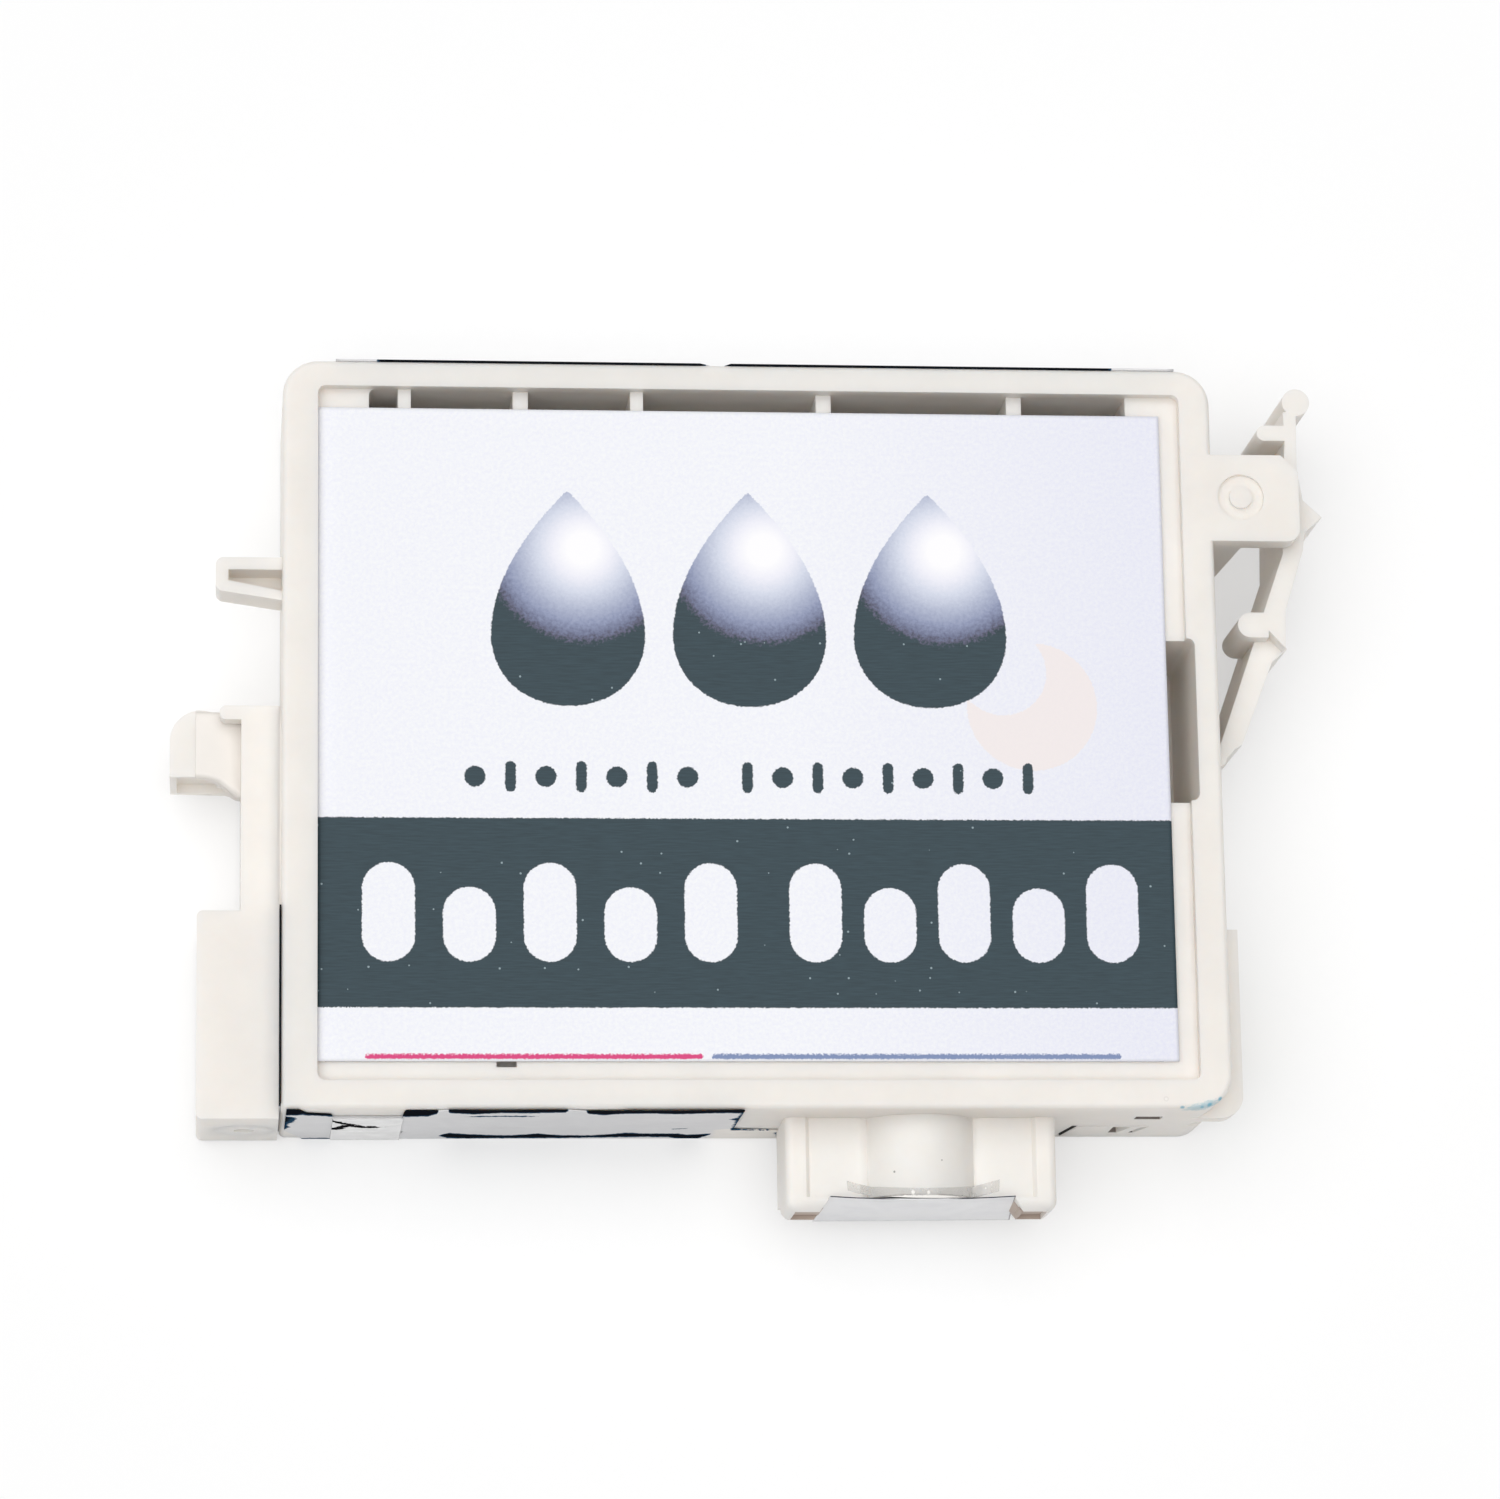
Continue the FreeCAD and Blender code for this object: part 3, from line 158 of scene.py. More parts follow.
def moulded_plastic(name, colours, marked=False, scatter=0.5):
    """Injection-moulded polypropylene: satin and slightly waxy, with faint clouds where the melt fronts met.
    The marked one also has the dried ink and the specks of the case's front."""
    material, add, place = new_material(name)
    # Flow clouds of about 5 mm
    clouds = add("ShaderNodeTexNoise", {"Vector": place, "Scale": 200.0, "Detail": 4.0, "Roughness": 0.6})
    tone = set_ramp(add("ShaderNodeValToRGB", {"Fac": clouds}), [(0.3, "F8F8F8"), (0.68, "FFFFFF")])
    colour = add("ShaderNodeMix", {"Factor": 1.0, FIRST: linear(colours.case_plastic), SECOND: tone},
                 data_type="RGBA", blend_type="MULTIPLY").outputs[MIXED]
    if marked:
        # Streaks of dried ink along the rim's corner, about 3.2 mm long
        smear = add("ShaderNodeMapping", {
            "Vector": place, "Location": (28.6 * MM, -24.62 * MM, 11.7 * MM),
            "Rotation": (0, 0, math.radians(15)), "Scale": (2.0 * MM, 0.34 * MM, 1.0 * MM)},
            vector_type="TEXTURE")
        reach = add("ShaderNodeVectorMath", {0: smear}, operation="LENGTH")
        streaks = add("ShaderNodeTexNoise", {"Vector": smear, "Scale": 4.5, "Detail": 6.0, "Roughness": 0.8})
        broken = add("ShaderNodeMath", {0: streaks, 1: 2.6, 2: reach.outputs["Value"]},
                     operation="MULTIPLY_ADD")
        amount = add("ShaderNodeMapRange", {
            "Value": broken, "From Min": 2.25, "From Max": 1.75, "To Max": 0.5})
        colour = add("ShaderNodeMix", {"Factor": amount, FIRST: colour, SECOND: linear(colours.ink_smear)},
                     data_type="RGBA").outputs[MIXED]
        for x, y, z, radius, mark_colour, strength in MARKS:
            centre = (x * MM, y * MM, z * MM)
            away = add("ShaderNodeVectorMath", {0: place, 1: centre}, operation="DISTANCE").outputs["Value"]
            mark = add("ShaderNodeMapRange", {
                "Value": away, "From Min": radius * MM, "From Max": radius * MM / 2, "To Max": strength})
            colour = add("ShaderNodeMix", {"Factor": mark, FIRST: colour, SECOND: linear(mark_colour)},
                         data_type="RGBA").outputs[MIXED]
    # Spark-eroded mould texture of about 0.15 mm
    grain = add("ShaderNodeTexNoise", {"Vector": place, "Scale": 6500.0, "Detail": 2.0})
    bump = add("ShaderNodeBump", {"Height": grain, "Strength": 0.08, "Distance": 0.02 * MM})
    rough = add("ShaderNodeMapRange", {"Value": clouds, "To Min": 0.40, "To Max": 0.54})
    surface = add("ShaderNodeBsdfPrincipled", {
        "Base Color": colour, "Roughness": rough, "IOR": 1.49, "Normal": bump,
        "Subsurface Weight": scatter, "Subsurface Scale": 1.0,
        "Subsurface Radius": (2.2 * MM, 1.8 * MM, 1.5 * MM)})
    add("ShaderNodeOutputMaterial", {"Surface": surface})
    return material


def printed_paper(colours):
    """Offset-printed coated paper: every ink's edge is roughened by about 0.1 mm, solid ink shows streaks
    and bare specks, and the drops fade to paper white round a glow."""
    material, add, place = new_material("Offset-printed coated paper")
    # Roughness of the printed edges, about 0.13 mm
    rough_edge = add("ShaderNodeTexNoise", {"Vector": place, "Scale": 7500.0, "Detail": 1.0})
    jitter = add("ShaderNodeMapRange", {
        "Value": rough_edge, **MIDDLE, "To Min": -0.035 * MM, "To Max": 0.035 * MM})
    # Tone dots in the coating, about 0.25 mm, and painted shade that makes the paper darker and bluer
    # towards the right
    dots = add("ShaderNodeTexNoise", {"Vector": place, "Scale": 4200.0, "Detail": 3.0, "Roughness": 0.7})
    paper = set_ramp(add("ShaderNodeValToRGB", {"Fac": dots}),
                     [(0.35, "F0F1F9"), (0.65, colours.label_paper)])
    across = add("ShaderNodeSeparateXYZ", {0: place})
    side = add("ShaderNodeMapRange", {"Value": across.outputs["X"], "From Min": 2 * MM, "From Max": 27 * MM})
    colour = add("ShaderNodeMix", {"Factor": side, FIRST: paper, SECOND: (0.90, 0.90, 0.95, 1.0)},
                 data_type="RGBA", blend_type="MULTIPLY").outputs[MIXED]
    # Streaks along the web, about 0.1 mm high and 1.5 mm long
    stretched = add("ShaderNodeVectorMath", {0: place, 1: (700.0, 9000.0, 1.0)}, operation="MULTIPLY")
    streaks = add("ShaderNodeTexNoise", {"Vector": stretched, "Scale": 1.0, "Detail": 2.0})
    streak_tone = set_ramp(add("ShaderNodeValToRGB", {"Fac": streaks}), [(0.3, 0.72), (0.7, 1.0)])
    slate = add("ShaderNodeMix", {"Factor": 1.0, FIRST: linear(colours.print_slate), SECOND: streak_tone},
                data_type="RGBA", blend_type="MULTIPLY").outputs[MIXED]
    # Bare specks of about 0.1 mm in one cell of four
    cells = add("ShaderNodeTexVoronoi", {"Vector": place, "Scale": 1300.0})
    small = add("ShaderNodeMath", {0: cells.outputs["Distance"], 1: 0.09}, operation="LESS_THAN")
    chosen = add("ShaderNodeMath", {0: cells.outputs["Color"], 1: 0.62}, operation="GREATER_THAN")
    bare = add("ShaderNodeMath", {0: small, 1: chosen}, operation="MULTIPLY")
    slate = add("ShaderNodeMix", {"Factor": bare, FIRST: slate, SECOND: linear("8FA0A6")},
                data_type="RGBA").outputs[MIXED]
    # The drops' tone by the distance from the glow, in steps of the 7 mm that it reaches
    glow = add("ShaderNodeAttribute", attribute_name="glow").outputs["Fac"]
    screen = add("ShaderNodeMapRange", {"Value": dots, **MIDDLE, "To Min": -0.055, "To Max": 0.055})
    reach = add("ShaderNodeMath", {0: glow, 1: 7 * MM}, operation="DIVIDE")
    noisy = add("ShaderNodeMath", {0: reach, 1: screen, 2: reach}, operation="MULTIPLY_ADD")
    fade = set_ramp(add("ShaderNodeValToRGB", {"Fac": noisy}), [
        (0.15, "FEFDFF"), (0.28, "F0F0F9"), (0.42, "D6DBEA"), (0.58, "B2B9CF"), (0.72, "9098B5"),
        (0.82, "6F7590"), (0.88, "56566A"), (0.93, "3B4950")])
    deep = add("ShaderNodeMapRange", {"Value": noisy, "From Min": 0.88, "From Max": 0.92})
    drop = add("ShaderNodeMix", {"Factor": deep, FIRST: fade, SECOND: slate},
               data_type="RGBA").outputs[MIXED]
    inks = (("ghost", linear("F3E9E6"), 0.8), ("drop", drop, 1.0), ("solid", slate, 1.0),
            ("red_line", linear(colours.line_red), 1.0), ("blue_line", linear(colours.line_blue), 1.0))
    for name, ink, strength in inks:
        depth = add("ShaderNodeAttribute", attribute_name=name).outputs["Fac"]
        moved = add("ShaderNodeMath", {0: depth, 1: jitter}, operation="ADD")
        inked = add("ShaderNodeMapRange", {
            "Value": moved, "From Min": -0.03 * MM, "From Max": 0.03 * MM, "To Max": strength})
        colour = add("ShaderNodeMix", {"Factor": inked, FIRST: colour, SECOND: ink},
                     data_type="RGBA").outputs[MIXED]
    bump = add("ShaderNodeBump", {"Height": dots, "Strength": 0.10, "Distance": 0.02 * MM})
    surface = add("ShaderNodeBsdfPrincipled", {
        "Base Color": colour, "Roughness": 0.65, "Specular IOR Level": 0.35, "Normal": bump})
    add("ShaderNodeOutputMaterial", {"Surface": surface})
    return material


def wrap_foil(colours):
    """Metallised laminate film: silver outside, black where it is printed or turned over at its edges, and
    pale where its metal has rubbed off."""
    material, add, place = new_material("Metallised laminate film")
    ragged = add("ShaderNodeTexNoise", {"Vector": place, "Scale": 2600.0, "Detail": 3.0, "Roughness": 0.7})
    jitter = add("ShaderNodeMapRange", {
        "Value": ragged, **MIDDLE, "To Min": -0.16 * MM, "To Max": 0.16 * MM})
    depth = add("ShaderNodeAttribute", attribute_name="dark").outputs["Fac"]
    moved = add("ShaderNodeMath", {0: depth, 1: jitter}, operation="ADD")
    dark = add("ShaderNodeMapRange", {"Value": moved, "From Min": -0.06 * MM, "From Max": 0.06 * MM})
    # Soft handling marks, about 2 mm
    clouds = add("ShaderNodeTexNoise", {"Vector": place, "Scale": 500.0, "Detail": 4.0, "Roughness": 0.6})
    silver = add("ShaderNodeMix", {
        "Factor": clouds, FIRST: linear("D0D0D2"), SECOND: linear(colours.film_silver)},
        data_type="RGBA").outputs[MIXED]
    bare = add("ShaderNodeAttribute", attribute_name="pale").outputs["Fac"]
    worn = add("ShaderNodeMath", {0: bare, 1: jitter}, operation="ADD")
    rubbed = add("ShaderNodeMapRange", {"Value": worn, "From Min": -0.3 * MM, "From Max": 0.3 * MM})
    silver = add("ShaderNodeMix", {"Factor": rubbed, FIRST: silver, SECOND: linear("E9E5E0")},
                 data_type="RGBA").outputs[MIXED]
    # The black layer turns blue within about half a millimetre of its edge: a painted reflection
    black = set_ramp(add("ShaderNodeValToRGB", {"Fac": add("ShaderNodeMapRange", {
        "Value": moved, "From Min": 0.0, "From Max": 1.0 * MM})}), [(0.1, "2C4D68"), (0.5, "15181E")])
    colour = add("ShaderNodeMix", {"Factor": dark, FIRST: silver, SECOND: black},
                 data_type="RGBA").outputs[MIXED]
    refraction = add("ShaderNodeMapRange", {"Value": dark, "To Min": 1.45, "To Max": 1.0})
    shine = add("ShaderNodeMapRange", {"Value": dark, "To Min": 0.25, "To Max": 0.0})
    # Wrinkles pressed by the heat bond, about 0.4 mm
    wrinkle = add("ShaderNodeTexNoise", {"Vector": place, "Scale": 2300.0, "Detail": 2.0, "Distortion": 1.5})
    bump = add("ShaderNodeBump", {"Height": wrinkle, "Strength": 0.25, "Distance": 0.05 * MM})
    surface = add("ShaderNodeBsdfPrincipled", {
        "Base Color": colour, "Metallic": shine, "Roughness": 0.46, "Normal": bump, "IOR": refraction})
    add("ShaderNodeOutputMaterial", {"Surface": surface})
    return material


def clear_sheet(name, tint, body, cloud_scale, mark_name="", mark_colour="1A1A1C", raggedness=0.25 * MM):
    """A clear polymer film: part of the light goes straight through, and the rest shows a faint milky body.
    The named attribute says how deep a point lies in a crack, bubble or rim, which has its own colour; on
    the port's film the rim is partly painted shadow."""
    material, add, place = new_material(name)
    clouds = add("ShaderNodeTexNoise", {
        "Vector": place, "Scale": cloud_scale, "Detail": 3.0, "Roughness": 0.5})
    colour = add("ShaderNodeMix", {"Factor": clouds, FIRST: linear(tint), SECOND: linear("F8F8F8")},
                 data_type="RGBA").outputs[MIXED]
    amount = add("ShaderNodeMapRange", {
        "Value": clouds, **MIDDLE, "To Min": body - 0.06, "To Max": body + 0.06})
    refraction = 1.5
    if mark_name:
        depth = add("ShaderNodeAttribute", attribute_name=mark_name).outputs["Fac"]
        jag = add("ShaderNodeTexNoise", {"Vector": place, "Scale": 3500.0, "Detail": 3.0, "Roughness": 0.7})
        jitter = add("ShaderNodeMapRange", {
            "Value": jag, **MIDDLE, "To Min": -raggedness, "To Max": raggedness})
        moved = add("ShaderNodeMath", {0: depth, 1: jitter}, operation="ADD")
        marked = add("ShaderNodeMapRange", {"Value": moved, "From Min": -0.05 * MM, "From Max": 0.05 * MM})
        colour = add("ShaderNodeMix", {"Factor": marked, FIRST: colour, SECOND: linear(mark_colour)},
                     data_type="RGBA").outputs[MIXED]
        amount = add("ShaderNodeMath", {0: amount, 1: marked}, operation="MAXIMUM")
        refraction = add("ShaderNodeMapRange", {"Value": marked, "To Min": 1.5, "To Max": 1.0})
    bump = add("ShaderNodeBump", {"Height": clouds, "Strength": 0.1, "Distance": 0.05 * MM})
    milky = add("ShaderNodeBsdfPrincipled", {
        "Base Color": colour, "Roughness": 0.25, "IOR": refraction, "Normal": bump})
    clear = add("ShaderNodeBsdfTransparent", {"Color": (0.97, 0.97, 0.97, 1.0)})
    surface = add("ShaderNodeMixShader", {0: amount, 1: clear, 2: milky})
    add("ShaderNodeOutputMaterial", {"Surface": surface})
    return material


def solid_finish(name, dark, light, scale, rough, metallic=0.0, stretch=(1.0, 1.0, 1.0)):
    """A finish whose tone and roughness vary between two values over a noise of the given scale per metre,
    which stretch draws out along an axis."""
    material, add, place = new_material(name)
    drawn = add("ShaderNodeVectorMath", {0: place, 1: stretch}, operation="MULTIPLY")
    grain = add("ShaderNodeTexNoise", {"Vector": drawn, "Scale": scale, "Detail": 4.0, "Roughness": 0.6})
    tone = set_ramp(add("ShaderNodeValToRGB", {"Fac": grain}), [(0.3, dark), (0.7, light)])
    level = add("ShaderNodeMapRange", {"Value": grain, **MIDDLE, "To Min": rough[0], "To Max": rough[1]})
    bump = add("ShaderNodeBump", {"Height": grain, "Strength": 0.3, "Distance": 0.02 * MM})
    surface = add("ShaderNodeBsdfPrincipled", {
        "Base Color": tone, "Roughness": level, "Metallic": metallic, "Normal": bump})
    add("ShaderNodeOutputMaterial", {"Surface": surface})
    return material


def woven_mesh():
    """Stainless wire cloth: warp and weft 0.15 mm apart, drawn as two crossed waves."""
    material, add, place = new_material("Woven stainless wire cloth")
    warp = add("ShaderNodeTexWave", {"Vector": place, "Scale": 1060.0}, bands_direction="X")
    weft = add("ShaderNodeTexWave", {"Vector": place, "Scale": 1060.0}, bands_direction="Z")
    wires = add("ShaderNodeMath", {0: warp.outputs["Fac"], 1: weft.outputs["Fac"]}, operation="MAXIMUM")
    tone = set_ramp(add("ShaderNodeValToRGB", {"Fac": wires}), [(0.3, "2E2E30"), (0.7, "A9A9AC")])
    bump = add("ShaderNodeBump", {"Height": wires, "Strength": 0.8, "Distance": 0.04 * MM})
    surface = add("ShaderNodeBsdfPrincipled", {
        "Base Color": tone, "Roughness": 0.35, "Metallic": 1.0, "Normal": bump})
    add("ShaderNodeOutputMaterial", {"Surface": surface})
    return material


# Meshes

def assign(piece, material):
    """Gives every slot of an object the material."""
    if not piece.material_slots:
        piece.data.materials.append(material)
    for slot in piece.material_slots:
        slot.material = material


def add_piece(scene, name, mesh, material, body, stands_for):
    """Links a new object, gives it its material, and says on which body it rides and what it replaces."""
    piece = bpy.data.objects.new(name, mesh)
    scene.collection.objects.link(piece)
    assign(piece, material)
    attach(piece, body)
    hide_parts(stands_for)
    return piece


def softened_mesh(node_name, name):
    """A copy of a moulded node with its triangles merged into whole faces."""
    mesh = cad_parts[node_name].data.copy()
    mesh.name = name
    whole = bmesh.new()
    whole.from_mesh(mesh)
    bmesh.ops.remove_doubles(whole, verts=whole.verts, dist=0.002 * MM)
    bmesh.ops.dissolve_limit(whole, angle_limit=math.radians(0.6), verts=whole.verts, edges=whole.edges)
    whole.to_mesh(mesh)
    whole.free()
    mesh.shade_smooth()
    return mesh


def thicken(piece, name, thickness):
    """Gives a sheet its thickness behind its face."""
    solid = piece.modifiers.new(name, "SOLIDIFY")
    solid.thickness = thickness
    solid.offset = -1


def grid_mesh(name, grids):
    """One smooth mesh from several grids of points. Each grid is an array of rows by columns by 3 and a
    dictionary with one number per point for every attribute. A face looks to the side from which rows then
    columns turn left."""
    points, quads, start = [], [], 0
    for grid, _ in grids:
        rows, columns = grid.shape[:2]
        index = np.arange(rows * columns).reshape(rows, columns) + start
        corners = [index[:-1, :-1], index[1:, :-1], index[1:, 1:], index[:-1, 1:]]
        quads.append(np.stack(corners, -1).reshape(-1, 4))
        points.append(grid.reshape(-1, 3))
        start += rows * columns
    mesh = bpy.data.meshes.new(name)
    mesh.from_pydata(np.concatenate(points), [], np.concatenate(quads))
    for key in grids[0][1]:
        values = np.concatenate([attributes[key].ravel() for _, attributes in grids])
        mesh.attributes.new(key, "FLOAT", "POINT").data.foreach_set("value", values.astype(np.float32))
    mesh.shade_smooth()
    return mesh


def box_depth(x, y, half_x, half_y, corner):
    """How deep a point lies inside a rounded box about the origin, with q = |p| - half + corner:
    corner - |max(q, 0)| - min(max(qx, qy), 0)."""
    qx = np.abs(x) - half_x + corner
    qy = np.abs(y) - half_y + corner
    return corner - np.hypot(np.maximum(qx, 0), np.maximum(qy, 0)) - np.minimum(np.maximum(qx, qy), 0)


def drop_depth(x, y, height):
    """How deep a point lies inside a drop, with x from its axis, y from its widest line, a its half width, b
    its depth below the line and c its height above. Below the line g = 1 - |x/a|^2.1 - |y/b|^2.1, above it
    g = 1 - |x/a| - (y/c)^1.9, and depth = g / |grad g|."""
    a, b, c = 0.347 * height, 0.33 * height, 0.67 * height
    u, below, above = np.abs(x) / a, np.maximum(-y, 0) / b, np.maximum(y, 0) / c
    lower = 1 - u ** 2.1 - below ** 2.1
    lower_slope = 2.1 * np.hypot(u ** 1.1 / a, below ** 1.1 / b)
    upper = 1 - u - above ** 1.9
    upper_slope = np.hypot(1 / a, 1.9 * above ** 0.9 / c)
    depth = np.where(y < 0, lower / np.maximum(lower_slope, 0.4 / a), upper / upper_slope)
    return np.clip(depth, -2 * MM, 2 * MM)


def ridge(x, y, at_x, at_y, length, width, tilt):
    """A wrinkle: exp(-(along/length)^2 - (across/width)^2) in axes turned by tilt degrees about its middle.
    Its middle, length and width are in millimetres."""
    turn = math.radians(tilt)
    right = x - at_x * MM
    up = y - at_y * MM
    along = right * math.cos(turn) + up * math.sin(turn)
    across = up * math.cos(turn) - right * math.sin(turn)
    return np.exp(-(along / (length * MM)) ** 2 - (across / (width * MM)) ** 2)


def wrinkles(x, y, ridges):
    """The sum of ridges, each given by its share and then what ridge() takes after x and y."""
    return sum(share * ridge(x, y, *shape) for share, *shape in ridges)


def through(x, corners):
    """The height of a line through the given corners at every x, in millimetres turned to metres."""
    places, heights = np.array(corners).T
    return np.interp(x, places * MM, heights * MM)


# White pills standing on one line in the band: x of the centre, half width and half height, in millimetres
FIGURES = tuple((start + pitch * i, 1.7, (3.25, 2.45)[i % 2])
                for start, pitch in ((-23.8, 5.2), (3.8, 4.85)) for i in range(5))
# Small figures above the band: a dot or an upright dash every 2.3 mm, with a wider space in the middle
SMALL_FIGURES = tuple(
    (-18.2 + 2.3 * i + (1.6 if i > 6 else 0.0), *((0.7, 0.7), (0.35, 1.05))[i % 2]) for i in range(16))
# How far the label reaches past its solid to the edge of its recess
LABEL_OVERHANG = 0.05 * MM
FIGURE_FOOT = -15.15 * MM
SMALL_MIDDLE = -2.95 * MM
# The band's middle, its half height, and a half width that reaches past both ends of the label
BAND_MIDDLE, BAND_HALF, BAND_REACH = -11.92 * MM, 6.22 * MM, 40 * MM
# The drops' middle axis and their foot, and the glow's shift to the right and its share of a drop's height
DROPS_MIDDLE, DROP_LINE = -0.2 * MM, 6.54 * MM
GLOW_SHIFT, GLOW_SHARE = 1.0 * MM, 0.40
# The two coloured lines, each with its middle and half length, and the height and half thickness of both
RED_LINE, BLUE_LINE = (-14.47 * MM, 10.83 * MM), (10.21 * MM, 13.28 * MM)
LINE_MIDDLE, LINE_HALF = -21.31 * MM, 0.17 * MM
# The crescent is a disc less a smaller one, each with x, y and radius
DISC, BITE = (18.3 * MM, 1.9 * MM, 4.3 * MM), (16.4 * MM, 4.2 * MM, 2.9 * MM)


def disc_depth(x, y, disc):
    """How deep a place lies in a disc: r - sqrt(dx^2 + dy^2)."""
    return disc[2] - np.hypot(x - disc[0], y - disc[1])


def label_mesh(sizes):
    """The label as a height over x and y: h = lift * (|u|^6 + |v|^6) / 2, with u and v from -1 to 1 across
    it. Its attributes say how deep each point lies in every printed form."""
    x, y = np.meshgrid(np.linspace(LABEL_LOW.x - LABEL_OVERHANG, LABEL_HIGH.x, 216),
                       np.linspace(LABEL_LOW.y, LABEL_HIGH.y, 170))
    u = (x - x.mean()) / np.ptp(x) * 2
    v = (y - y.mean()) / np.ptp(y) * 2
    lift = sizes.label_lift * (np.abs(u) ** 6 + np.abs(v) ** 6) / 2
    drops = [DROPS_MIDDLE + side * sizes.drop_spacing for side in (-1, 0, 1)]
    glow_y = DROP_LINE + GLOW_SHARE * sizes.drop_height
    drop = np.max([drop_depth(x - axis, y - DROP_LINE, sizes.drop_height) for axis in drops], axis=0)
    glow = np.min([np.hypot(x - axis - GLOW_SHIFT, y - glow_y) for axis in drops], axis=0)
    figures = np.max([box_depth(x - at * MM, y - FIGURE_FOOT - tall * MM, wide * MM, tall * MM, wide * MM)
                      for at, wide, tall in FIGURES], axis=0)
    small = np.max([box_depth(x - at * MM, y - SMALL_MIDDLE, wide * MM, tall * MM, wide * MM)
                    for at, wide, tall in SMALL_FIGURES], axis=0)
    band = box_depth(x, y - BAND_MIDDLE, BAND_REACH, BAND_HALF, 0.0)
    attributes = {
        "drop": drop, "glow": glow, "solid": np.maximum(np.minimum(band, -figures), small),
        "ghost": np.minimum(disc_depth(x, y, DISC), -disc_depth(x, y, BITE)),
    }
    for name, (middle, half) in (("red_line", RED_LINE), ("blue_line", BLUE_LINE)):
        attributes[name] = box_depth(x - middle, y - LINE_MIDDLE, half, LINE_HALF, 0.0)
    points = np.stack([x, y, LABEL_HIGH.z + lift], -1)
    return grid_mesh("label_sheet", [(points.transpose(1, 0, 2), {k: a.T for k, a in attributes.items()})])


def flap_profile(radius, height, rows):
    """The section of a folded flap by the length s along it, with a = min(s / r, 90 degrees): outwards
    r sin(a) - r and upwards r (1 - cos(a)) + max(s - r a, 0)."""
    length = radius * math.pi / 2
    s = np.concatenate([np.linspace(0, length, 6)[:-1], np.linspace(length, length + height - radius, rows)])
    angle = np.minimum(s / radius, math.pi / 2)
    return radius * np.sin(angle) - radius, radius * (1 - np.cos(angle)) + np.maximum(s - length, 0)


# The films' wrinkles, each with its share of the crinkle, its middle, its length and width and its tilt
FLAP_WRINKLES = (
    (0.9, -11, 3.2, 9.5, 1.3, 0), (1.3, -6, 11.9, 5, 1.5, 0), (0.8, -17, 11.9, 3, 1.0, 0),
    (0.7, -16, 5.8, 2.4, 0.35, 4), (-0.5, -15.5, 4.9, 2.0, 0.30, -3), (0.7, -6, 6.6, 2.2, 0.35, -4),
    (0.6, -5, 4.9, 1.5, 0.30, 8), (0.5, -20, 7.5, 0.5, 2.5, 12), (0.5, -29.4, 7, 0.4, 2.2, -8),
    (0.9, -0.4, 2.2, 0.9, 0.30, 20), (0.8, 1.2, 1.8, 0.5, 0.40, -35))
TAPE_WRINKLES = (
    (1.0, -26.8, 5.2, 1.2, 0.5, -35), (-0.8, -25.4, 4.2, 1.4, 0.4, -5), (0.8, -24.0, 6.4, 1.2, 0.4, 30),
    (0.5, -23.6, 3.0, 0.4, 1.8, -15))
PORT_WRINKLES = ((0.4, 7.5, 6.0, 0.4, 3.0, 20), (0.3, 13.8, 4.5, 0.5, 2.5, -25))
# The branches of the tape's crack, in millimetres: a line, its middle, half its width, half its length and
# how fast it tapers beyond them
CRACKS = ((((-27.3, 5.2), (-26.6, 6.0), (-26.0, 6.6)), -26.8, 0.55, 0.60, 1.0),
          (((-27.3, 8.2), (-26.7, 7.4), (-26.2, 6.9)), -26.9, 0.45, 0.50, 1.0),
          (((-26.0, 6.2), (-25.0, 5.7), (-24.6, 5.9)), -25.2, 0.45, 0.65, 0.7))


